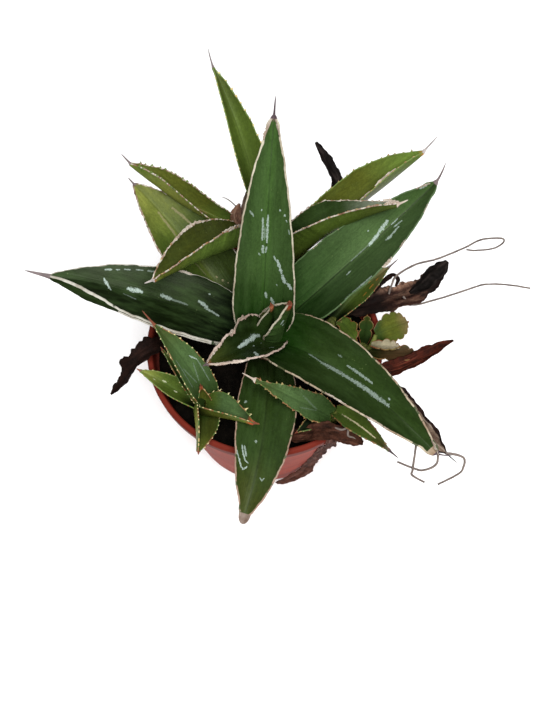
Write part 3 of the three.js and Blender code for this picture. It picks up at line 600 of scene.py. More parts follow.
def scallop_dip(leaf, share, depth, power):
    """How far the outline dips between the lobes of a scalloped leaf, in mm."""
    lobe = np.arcsin(np.clip(share / 0.98, 0, 1)) / (np.pi / 2) * leaf["scallops"]
    return depth * (1 - np.abs(np.sin(np.pi * lobe)) ** power) * (lobe > 0.5)


def leaf_half_width(leaf, share):
    p, q = leaf["taper"]
    foot, widest = leaf["foot"], leaf["widest"]
    grow = foot + (1 - foot) * np.sin(np.clip(share / widest, 0, 1) * np.pi / 2)
    past = np.clip((share - widest) / (1 - widest), 0, 1)
    fall = np.clip(1 - past ** p, 0, 1) ** q
    half = leaf["width"] / 2 * np.where(share < widest, grow, fall)
    if leaf["scallops"]:
        half = half - scallop_dip(leaf, share, 1.1, 0.5)
    return np.maximum(half, SPINE_RADIUS if leaf["spine"] else NO_SPINE)


def leaf_thickness(leaf, share):
    at_tip = max(RIM_THICKNESS + 0.5, leaf["thick"] * 0.3)
    return leaf["thick"] + (at_tip - leaf["thick"]) * share ** 0.7


def gutter_angle(leaf, share):
    """Slope of the sides of the section; it settles halfway along the leaf."""
    start, settled = leaf["gutter"]
    return np.radians(start + (settled - start) * np.clip(share / 0.5, 0, 1))


print("a random wave at four places:", wander(np.arange(4.0), 1).round(2))

# %% A builder that gathers skins into one mesh
class Skin:
    """Collects closed skins with their material slots and leaf maps, then makes one piece."""

    def __init__(self):
        self.points, self.share, self.chart, self.faces, self.slots = [], [], [], [], []
        self.count = 0

    def rings(self, points, share, chart, slots, foot_slot=0, tip_slot=0):
        """points is rows x ring x 3 in mm, slots is (rows - 1) x ring; both ends are closed."""
        rows, size, _ = points.shape
        first = self.count
        self.points.append(points.reshape(-1, 3))
        self.share.append(share.reshape(-1, 2))
        self.chart.append(chart.reshape(-1, 2))
        self.count += rows * size
        row, col = np.meshgrid(np.arange(rows - 1), np.arange(size), indexing="ij")
        a = first + row * size + col
        b = first + row * size + (col + 1) % size
        self.faces.extend(np.stack([a, b, b + size, a + size], -1).reshape(-1, 4).tolist())
        self.slots.extend(np.broadcast_to(slots, (rows - 1, size)).reshape(-1).tolist())
        for end, slot in ((0, foot_slot), (rows - 1, tip_slot)):
            ring = list(range(first + end * size, first + (end + 1) * size))
            self.points.append(points[end].mean(0)[None])
            self.share.append(share[end].mean(0)[None])
            self.chart.append(chart[end].mean(0)[None])
            hub = self.count
            self.count += 1
            for k in range(size):
                pair = (ring[k], ring[(k + 1) % size])
                self.faces.append([pair[1], pair[0], hub] if end == 0 else [pair[0], pair[1], hub])
                self.slots.append(slot)

    def piece(self, name, materials, slot, *nodes):
        mesh = bpy.data.meshes.new(name)
        mesh.from_pydata((np.concatenate(self.points) * MM).tolist(), [], self.faces)
        corner = np.zeros(len(mesh.loops), np.int32)
        mesh.loops.foreach_get("vertex_index", corner)
        for title, table in (("leaf_share", self.share), ("leaf_map", self.chart)):
            layer = mesh.uv_layers.new(name=title)
            layer.data.foreach_set("uv", np.concatenate(table)[corner].astype(np.float32).reshape(-1))
        mesh.polygons.foreach_set("material_index", np.array(self.slots, np.int32))
        mesh.polygons.foreach_set("use_smooth", np.ones(len(self.faces), bool))
        for material in materials:
            mesh.materials.append(material)
        return settle(name, mesh, slot, *nodes)


def settle(name, mesh, slot, *nodes):
    """Turns every skin of a mesh outwards, and puts it in the place of its CAD nodes."""
    work = bmesh.new()
    work.from_mesh(mesh)
    bmesh.ops.recalc_face_normals(work, faces=work.faces)
    work.to_mesh(mesh)
    work.free()
    piece = bpy.data.objects.new(name, mesh)
    SCENE.collection.objects.link(piece)
    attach(piece, "root")
    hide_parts(*nodes)
    return piece


print("points in a new skin:", Skin().count)

# %% [markdown]
# The section of a leaf is a ring of points: over the top from the right edge to the left, round the
# left bead, back under the leaf, and round the right bead. Each point has a place across (`u`), a
# step outwards along the surface, and a step off the surface. Teeth only push the bead outwards and
# forwards, so they grow out of it without a seam.

# %% The fine leaf
BEAD_ANGLES = np.radians([66, 33, 0, -33, -66])
BLADE, UNDER, RIM, TOOTH, SPINE, SCRAP = range(6)


def profile(points, share):
    """A value that runs in straight lines between (share, value) pairs."""
    return np.interp(share, [p[0] for p in points], [p[1] for p in points])


def tooth_line(share, leaf, look, side):
    """How far teeth stand out of one edge at each share, in mm, and where a tooth is."""
    out = np.zeros_like(share)
    count = look["teeth"]
    if not count:
        return out
    dice = np.random.default_rng(look["seed"] * 7 + side + 3)
    mm = share * leaf["length"]
    for k in range(count):
        centre = (k + 0.5 + dice.uniform(-0.25, 0.25)) / count * 0.96 * leaf["length"]
        height = look["tooth"] * dice.uniform(0.45, 1.15)
        width = dice.uniform(0.8, 1.3)
        behind, ahead = (mm - centre) / (width * 1.5), (centre - mm) / (width * 0.55)
        bulge = np.where(mm < centre, np.clip(1 + behind, 0, 1), np.clip(1 + ahead, 0, 1))
        out = np.maximum(out, height * bulge ** 1.3)
    return out * np.clip((0.97 - share) / 0.03, 0, 1) * np.clip(share / 0.05, 0, 1)


def edge_terms(leaf, look, share, half, side):
    """Width of the bead, and the wandering outline, on one side."""
    seed = look["seed"] * 11 + side
    mm = share * leaf["length"]
    rim = look["rim"] if side > 0 else look["rim_right"] or look["rim"]
    width = profile(rim, share) * (1 + 0.4 * wander(mm * 0.42, seed))
    flare = wander(mm * 0.22, seed + 5) * look["uneven"]
    if look["jag"]:
        ragged = wander(mm * 1.5, seed + 9)
        width = width * (1 + 0.5 * ragged)
        flare = flare + look["jag"] * np.maximum(ragged, -0.4)
    width = np.minimum(width, half * 0.45)
    for place, spread, depth in look["bites" if side > 0 else "bites_right"]:
        flare = flare - depth * np.exp(-((share - place) / spread) ** 2)
    if leaf["scallops"]:
        flare = flare - scallop_dip(leaf, share, 1.5, 0.4)
    return width, flare


SEAM_START = 16  # column where a margin that is folded inwards begins
SEAM_COLUMNS = 3
NEEDLE_ROWS = 18


def seam_columns(line, ridge, count):
    """Places across the upper face when the left margin lies inwards, at a share of the half width."""
    line = np.minimum(line, 1 - 2.5 * ridge)
    inner, beyond = line - ridge, line + ridge
    columns = [-1 + (inner + 1) * k / SEAM_START for k in range(SEAM_START)]
    columns += [inner, line, beyond]
    rest = count - SEAM_START - SEAM_COLUMNS
    columns += [beyond + (1 - beyond) * (k + 1) / rest for k in range(rest)]
    return np.stack(columns, -1)


def leaf_skin(leaf, look, skin=None):
    """Adds one fine leaf to a skin."""
    skin = skin or Skin()
    rows = int(leaf["length"] * SPINE_START / look["spacing"]) + 1
    share = np.linspace(0, SPINE_START, rows)
    half = leaf_half_width(leaf, share)
    for place, spread, more in look["plump"]:
        half = half + more * np.exp(-((share - place) / spread) ** 2)
    rim_thick = SLIM_RIM_THICKNESS if (look["teeth"] or leaf["scallops"]) else RIM_THICKNESS
    thick = np.maximum(leaf_thickness(leaf, share), rim_thick)
    power = 1.5 - look["crease"] * share
    centre, forward, left, up = leaf_frames(leaf, share)
    top_count, low_count = look["columns"]

    across_top = np.linspace(-1, 1, top_count)
    across_low = np.linspace(1, -1, low_count)
    beads = len(BEAD_ANGLES)
    v = np.concatenate([across_top, np.ones(beads), across_low, -np.ones(beads)])
    kind = np.repeat([0, 1, 2, 3], [top_count, beads, low_count, beads])
    angle = np.concatenate([np.zeros(top_count), BEAD_ANGLES, np.zeros(low_count), BEAD_ANGLES[::-1]])
    size = len(v)

    wide_l, flare_l = edge_terms(leaf, look, share, half, 1)
    wide_r, flare_r = edge_terms(leaf, look, share, half, -1)
    inner_l = np.maximum(half + flare_l - wide_l, 0.3) / half
    inner_r = np.maximum(half + flare_r - wide_r, 0.3) / half
    teeth_l = tooth_line(share, leaf, look, 1)
    teeth_r = tooth_line(share, leaf, look, -1)

    V, A = np.broadcast_to(v, (rows, size)).copy(), np.broadcast_to(angle, (rows, size))
    column = lambda values: np.broadcast_to(values[:, None], (rows, size))
    seam = look["seam"]
    if seam:
        V[:, :top_count] = seam_columns(profile(seam, share), 0.55 / half, top_count)
    u = np.where(V >= 0, V * column(inner_l), V * column(inner_r))
    bead = (kind == 1) | (kind == 3)
    wide = np.where(V > 0, column(wide_l), column(wide_r))
    teeth = np.where(V > 0, column(teeth_l), column(teeth_r)) * bead * np.cos(A) ** 2
    out = np.where(bead, wide * np.cos(A) ** 0.8, 0.0) + teeth
    lip = 0.16 * np.clip(np.sin(2 * A), 0, 1)
    mm = column(share * leaf["length"])
    relief = look["relief"] * crumple(u * column(half) * 0.16, mm * 0.045, look["seed"]) * (1 - V ** 4)
    wave = look["wave"] * np.abs(V) ** 3 * np.where(
        V > 0, wander(mm * 0.42, look["seed"] + 21), wander(mm * 0.42, look["seed"] + 22))
    depth = rim_thick + (column(thick) - rim_thick) * (1 - V ** 2)
    lift = np.select([kind == 0, kind == 2], [relief, relief * 0.5 - depth],
                     -rim_thick / 2 + rim_thick / 2 * np.sin(A) + lip)
    lift = lift + wave * np.clip(column(share) / 0.15, 0, 1)
    if seam:
        lift[:, SEAM_START:SEAM_START + SEAM_COLUMNS] += 0.45
        lift[:, SEAM_START + SEAM_COLUMNS:top_count] -= 0.5

    g, P = column(gutter_angle(leaf, share)), column(power)
    bow = P * np.abs(u) ** (P - 1) * np.sign(u) * np.sin(g)
    length = np.sqrt(np.cos(g) ** 2 + bow ** 2)
    tangent = (np.cos(g) / length, bow / length)
    normal = (-bow / length, np.cos(g) / length)
    sign = np.where(V >= 0, 1, -1)
    h = column(half)
    x = h * u * np.cos(g) + sign * out * tangent[0] + lift * normal[0]
    z = h * np.abs(u) ** P * np.sin(g) + sign * out * tangent[1] + lift * normal[1]
    points = (centre[:, None] + left[:, None] * x[..., None] + up[:, None] * z[..., None]
              + forward[:, None] * (teeth * look["hook"])[..., None])
    uv_share = np.stack([u, column(share)], -1)
    chart = np.stack([u * h / 10, mm / 10], -1)

    slots = np.broadcast_to(np.select([kind == 0, kind == 2], [BLADE, UNDER], RIM), (rows - 1, size)).copy()
    slots[:, top_count - 1] = RIM
    slots[:, top_count + beads + low_count - 1] = RIM
    if seam:
        folded = profile(seam, share[:-1]) < 0.95
        slots[:, SEAM_START:SEAM_START + SEAM_COLUMNS] = RIM
        slots[:, SEAM_START + SEAM_COLUMNS:top_count] = UNDER
        slots[np.ix_(folded, range(top_count - 1, top_count + beads))] = UNDER
    slots[teeth[:-1] > 0.2] = TOOTH
    slots[share[:-1] > (look["cap"] or CAP_START)] = RIM if look["cap"] and not look["cap_horn"] else SPINE

    reach = np.linspace(0, 1, NEEDLE_ROWS + 1)[1:] ** 1.5
    tip_centre, tip_forward, _, tip_up = (a[0] for a in leaf_frames(leaf, [1.0]))
    spine = (leaf["spine"] or NO_SPINE) + 0.4
    apex = tip_centre + tip_forward * spine + tip_up * spine * 0.15
    last_centre = points[-1].mean(0)
    path = last_centre + (apex - last_centre) * reach[:, None]
    path = path + np.array(look["spine_bend"])[None] * (reach ** 1.5)[:, None]
    if look["blunt"]:
        scale = np.sqrt(np.clip(1 - reach ** 2, 0.0004, 1))
    else:
        slim = min(1.0, look["spine_radius"] / half[-1])
        shoulder = (1 - slim) * np.sqrt(np.clip(1 - (reach / 0.16) ** 2, 0, 1))
        waist = 1 - look["waist"] * np.sin(np.pi * reach ** 0.7)
        scale = slim * (1 - reach) ** 0.75 * waist + 0.03 + shoulder
    needle = path[:, None] + (points[-1] - last_centre)[None] * scale[:, None, None]
    points = np.concatenate([points, needle])
    beyond = np.broadcast_to((1 + 0.2 * reach)[:, None], (NEEDLE_ROWS, size))
    uv_share = np.concatenate([uv_share, np.stack([np.broadcast_to(u[-1], (NEEDLE_ROWS, size)), beyond], -1)])
    chart = np.concatenate([chart, np.stack([
        np.broadcast_to(chart[-1, :, 0], (NEEDLE_ROWS, size)),
        np.broadcast_to((chart[-1, 0, 1] + reach * spine / 10)[:, None], (NEEDLE_ROWS, size))], -1)])
    tip_slot = RIM if look["blunt"] and not look["cap_horn"] else SPINE
    slots = np.concatenate([slots, np.full((NEEDLE_ROWS, size), tip_slot)])
    skin.rings(points, uv_share, chart, slots, UNDER, tip_slot)
    for flake in look["flakes"]:
        flake_skin(leaf, look, flake, skin)
    return skin


print("points on the bead of each edge:", len(BEAD_ANGLES))

# %% [markdown]
# Here and there the margin has come loose or torn into a papery flake. A flake is a thin closed
# ribbon that starts inside the bead and runs outwards with a ragged, curling edge.

# %% Papery flakes at the margin
FLAKE_ROWS, FLAKE_COLUMNS = 34, 7
FLAKE_HALF_THICKNESS = 0.16
FLAKE_ROOT = 0.9  # how far inside the bead a flake starts, in mm


def flake_skin(leaf, look, flake, skin):
    """flake: side, from share, to share, reach mm, lift mm, seed."""
    side, begin, finish, reach, rise, seed = flake
    rows, columns = FLAKE_ROWS, FLAKE_COLUMNS
    t = np.linspace(0, 1, rows)
    share = begin + (finish - begin) * t
    half = leaf_half_width(leaf, share)
    g = gutter_angle(leaf, share)
    centre, forward, left, up = leaf_frames(leaf, np.clip(share, 0, 1))
    edge = (half + edge_terms(leaf, look, share, half, side)[1]) / half
    slope = 1.5 * np.sqrt(edge) * np.sin(g)
    length = np.hypot(np.cos(g), slope)
    outward = (left * (side * np.cos(g) / length)[:, None] + up * (slope / length)[:, None])
    normal = np.cross(forward, outward) * side
    root = (centre + left * (side * half * edge * np.cos(g))[:, None]
            + up * (half * edge ** 1.5 * np.sin(g))[:, None]) - outward * FLAKE_ROOT
    body = np.sin(np.pi * np.clip(t, 0, 1)) ** 0.55 * (1 + 0.35 * wander(t * 26, seed))
    across = np.linspace(0, 1, columns)
    step = across[None] * (FLAKE_ROOT + reach * np.clip(body, 0.02, 3))[:, None]
    curl = rise * across[None] ** 2 * (1 + 0.5 * wander(t * 14, seed + 3))[:, None] + 0.25 * crumple(
        t[:, None] * 20, across[None] * 3, seed)
    sheet = root[:, None] + outward[:, None] * step[..., None] + normal[:, None] * curl[..., None]
    top = sheet + normal[:, None] * FLAKE_HALF_THICKNESS
    low = (sheet - normal[:, None] * FLAKE_HALF_THICKNESS)[:, ::-1]
    points = np.concatenate([top, low], 1)
    chart = np.stack([np.concatenate([step, step[:, ::-1]], 1) / 10 + side * 2,
                      np.broadcast_to((share * leaf["length"] / 10)[:, None], (rows, columns * 2))], -1)
    skin.rings(points, chart * 0.1, chart, np.full((rows - 1, columns * 2), SCRAP), SCRAP, SCRAP)


print("points of a flake:", FLAKE_ROWS * FLAKE_COLUMNS * 2)

# %% [markdown]
# Dead leaves, stems, threads and buds aren't swept by rule but follow a handful of points. A ribbon
# is cupped and crumpled by summed waves; a limb is round and lumpy. Both are closed skins too.

# %% Ribbons and limbs along a path
def smooth_path(points, count):
    """A smooth curve through points that carry further values."""
    points = np.array(points, float)
    last = len(points) - 2
    out = []
    for k in range(count + 1):
        place = k / count * (len(points) - 1)
        i = min(int(place), last)
        t = place - i
        a, b = points[i], points[i + 1]
        leave = (b - points[max(i - 1, 0)]) / 2
        arrive = (points[min(i + 2, len(points) - 1)] - a) / 2
        out.append((2 * t ** 3 - 3 * t ** 2 + 1) * a + (t ** 3 - 2 * t ** 2 + t) * leave
                   + (3 * t ** 2 - 2 * t ** 3) * b + (t ** 3 - t ** 2) * arrive)
    return np.array(out)


def carried_frames(centres, first):
    """Forward, side and up along a path, with the side carried from row to row."""
    forward = np.gradient(centres, axis=0)
    forward /= np.linalg.norm(forward, axis=1)[:, None]
    side = np.cross(first, forward[0])
    sides = []
    for direction in forward:
        side = side - direction * side.dot(direction)
        side = side / np.linalg.norm(side)
        sides.append(side)
    sides = np.array(sides)
    return forward, sides, np.cross(forward, sides)


def run_along(centres):
    """Length run from the start of a path to each of its rows."""
    return np.concatenate([[0], np.cumsum(np.linalg.norm(np.diff(centres, axis=0), axis=1))])


RIBBON = dict(rows=110, across=19, ragged=0.16, crease_depth=0.8, lump=0.7, curl=0.8)


def ribbon_skin(skin, path, cup, thick, look, slot_top=0, slot_low=1):
    """A cupped, crumpled ribbon along [x, y, z, half width, roll] points."""
    look = {**RIBBON, **look}
    points = smooth_path(path, look["rows"])
    centre, seed = points[:, :3], look["seed"]
    forward, side, up = carried_frames(centre, (0, 0, 1))
    roll = np.radians(points[:, 4])[:, None]
    side, up = side * np.cos(roll) + up * np.sin(roll), up * np.cos(roll) - side * np.sin(roll)
    along = run_along(centre)
    half = np.maximum(points[:, 3], 0.3)
    count = look["across"]
    v = np.concatenate([np.linspace(-1, 1, count), np.linspace(1, -1, count)[1:-1]])
    top = np.arange(len(v)) < count
    V, S = np.broadcast_arrays(v, along[:, None])
    torn = np.where(V > 0, wander(S * 0.3, seed), wander(S * 0.3, seed + 1))
    reach = half[:, None] * (1 + look["ragged"] * torn * np.abs(V) ** 2)
    gutter = math.radians(cup)
    creases = look["crease_depth"] * crumple(V * 3.4 + S * 0.01, S * 0.07, seed + 2)
    lumps = look["lump"] * crumple(V * reach * 0.12, S * 0.12, seed + 3)
    curl = look["curl"] * np.abs(V) ** 4 * wander(S * 0.18, seed + 4)
    skin_thick = thick / 2 * (1 - 0.75 * V ** 4)
    lift = creases + lumps + curl + np.where(top, skin_thick, -skin_thick)
    fade = np.clip(np.minimum(S, along[-1] - S) / 4, 0.1, 1)
    x = reach * V * math.cos(gutter)
    z = reach * V ** 2 * math.sin(gutter) + lift * fade
    made = centre[:, None] + side[:, None] * x[..., None] + up[:, None] * z[..., None]
    share = np.stack([V, S / along[-1]], -1)
    chart = np.stack([x / 10, S / 10], -1)
    slots = np.broadcast_to(np.where(top, slot_top, slot_low), (len(half) - 1, len(v)))
    skin.rings(made, share, chart, slots, slot_low, slot_low)
    return skin


def limb_skin(skin, path, sides, rows, slot, lump=0.0, seed=0):
    """A round limb along [x, y, z, radius] points, lumpy if asked."""
    points = smooth_path(path, rows)
    centre = points[:, :3]
    forward, side, up = carried_frames(centre, (0.2, 1, 0.1))
    along = run_along(centre)
    angle = np.linspace(0, 2 * np.pi, sides, endpoint=False)
    A, S = np.broadcast_arrays(angle, along[:, None])
    radius = points[:, 3][:, None] * (1 + lump * crumple(np.cos(A) * 2.5, np.sin(A) * 2.5 + S * 0.5, seed))
    made = (centre[:, None] + side[:, None] * (radius * np.cos(A))[..., None]
            + up[:, None] * (radius * np.sin(A))[..., None])
    share = np.stack([A / np.pi - 1, S / along[-1]], -1)
    chart = np.stack([A * radius.mean() / 10, S / 10], -1)
    skin.rings(made, share, chart, np.full((len(centre) - 1, sides), slot), slot, slot)
    return skin


print("rows of a ribbon:", RIBBON["rows"])

# %% [markdown]
# ## Greens of the leaves
# Plants of one pot share their tones, so the leaves pick from one short palette. Each takes three
# of them: for its foot, its middle and its tip. The darkest, NIGHT and SHADE, are painted shade,
# used wherever part of a leaf lies deep in shadow, mostly at feet in the rosette.

# %% Palette
NIGHT = (5, 10, 5)
SHADE = (15, 25, 5)
BOTTLE = (15, 40, 5)
IVY = (30, 45, 15)
OLIVE = (45, 50, 15)
LEAF = (45, 65, 30)
WAX = (60, 80, 45)
FERN = (60, 75, 25)
MOSS = (70, 75, 25)
FRESH = (80, 100, 40)
PALE = (115, 120, 55)
DUSTY = (115, 120, 105)
TAN = (100, 85, 55)
BARE = (50, 35, 20)
print("night green as the shader sees it:", [round(v, 4) for v in paint(*NIGHT)])

# %% [markdown]
# ## What a leaf needs
# A row of a leaf table gives the leaf's course in millimetres and degrees, and then how it differs
# from a plain leaf: its greens, the width of the horn along the leaf, and its bud marks as (along,
# across, along, across, width in mm, strength). Those are shares of its length and half width. The
# material works on the map in centimetres, so each end is carried over with the leaf's own outline.

# %% Rows and growth
MARK_TONE = (150, 164, 157)
PLAIN_LEAF = dict(
    rib=None, rib_share=0.3, edge=0.3, bloom=0.2, fold=0.25, shade=(0.0, 0.0), foot_reach=0.42,
    streaks=(), under_streaks=(), streak_tone=MARK_TONE, brown_tip=0.0, tip_tone=(88, 70, 62),
    brown_specks=0.0, horn=PALE_HORN, tooth_horn=TOOTH_HORN, spine_horn=GREY_SPINE, cap_horn=None,
    rim_right=None, uneven=0.35, jag=0.0, bites=(), bites_right=(), flakes=(), teeth=0, tooth=1.0,
    hook=0.6, spacing=1.0, columns=(27, 15), plump=(), crease=0.15, wave=0.0, relief=0.25, seam=None,
    cap=None, blunt=False, spine_radius=1.3, spine_bend=(0, 0, 0), waist=0.42)
UNDERSIDE = dict(rib=None, rib_share=0.35, edge=0.1, fold=0.0, shade=(0.0, 0.0), foot_reach=0.42,
                 brown_specks=0.0, streak_tone=MARK_TONE)
TOP_GLOSS, UNDER_GLOSS = 0.1, 0.05
SEED_STEP, UNDER_SEED = 1.7, 40


def grown(base, heading, rise, size, foot, taper, gutter, roll, thick, spine=None, scallops=0, **look):
    """A row: heading is (foot, turn), rise and roll (foot, tip), size (length, width), foot (share of
    the width there, share of the length where the leaf is widest), gutter (foot, from halfway on)."""
    return dict(base=base, heading=heading[0], turn=heading[1], rise=rise, length=size[0], width=size[1],
                foot=foot[0], widest=foot[1], taper=taper, gutter=gutter, roll=roll, thick=thick,
                spine=spine, scallops=scallops), look


def streaks_in_cm(leaf, streaks):
    """Streaks with their ends on the leaf's map, and half their width, in centimetres."""
    def on_map(s, u):
        half = float(leaf_half_width(leaf, np.array([s]))[0])
        return (u * half / 10, s * leaf["length"] / 10, 0.0)
    return [(on_map(s0, u0), on_map(s1, u1), width / 20, strength)
            for s0, u0, s1, u1, width, strength in streaks]


def grow_leaves(leaves, first_seed, shared, slot):
    """Makes one piece for each leaf. shared holds what the leaves of a set have in common."""
    faces = 0
    for seed, (name, (leaf, own)) in enumerate(leaves.items(), first_seed):
        look = {**PLAIN_LEAF, **shared, **own, "seed": seed}
        low = {**look, **UNDERSIDE, "bloom": look["bloom"] * 0.8}
        top = flesh_material(name + "_skin", look["tones"], look, streaks_in_cm(leaf, look["streaks"]),
                             seed * SEED_STEP, TOP_GLOSS)
        below = flesh_material(name + "_underside", look["under"], low,
                               streaks_in_cm(leaf, look["under_streaks"]),
                               seed * SEED_STEP + UNDER_SEED, UNDER_GLOSS)
        end = look["cap_horn"] or look["spine_horn"]
        materials = [top, below, look["horn"], look["tooth_horn"], end, PAPER]
        piece = leaf_skin(leaf, look).piece(name + "_grown", materials, slot, name)
        faces += len(piece.data.polygons)
    print("grown:", len(leaves), "leaves,", faces, "faces")


# %% [markdown]
# ## The main rosette
# A bud and eight leaves: a tall one behind, a pair reaching right, a long one to the left, a broad
# one in front, an older yellow-green one at the back left, and two young ones wrapped round the bud.

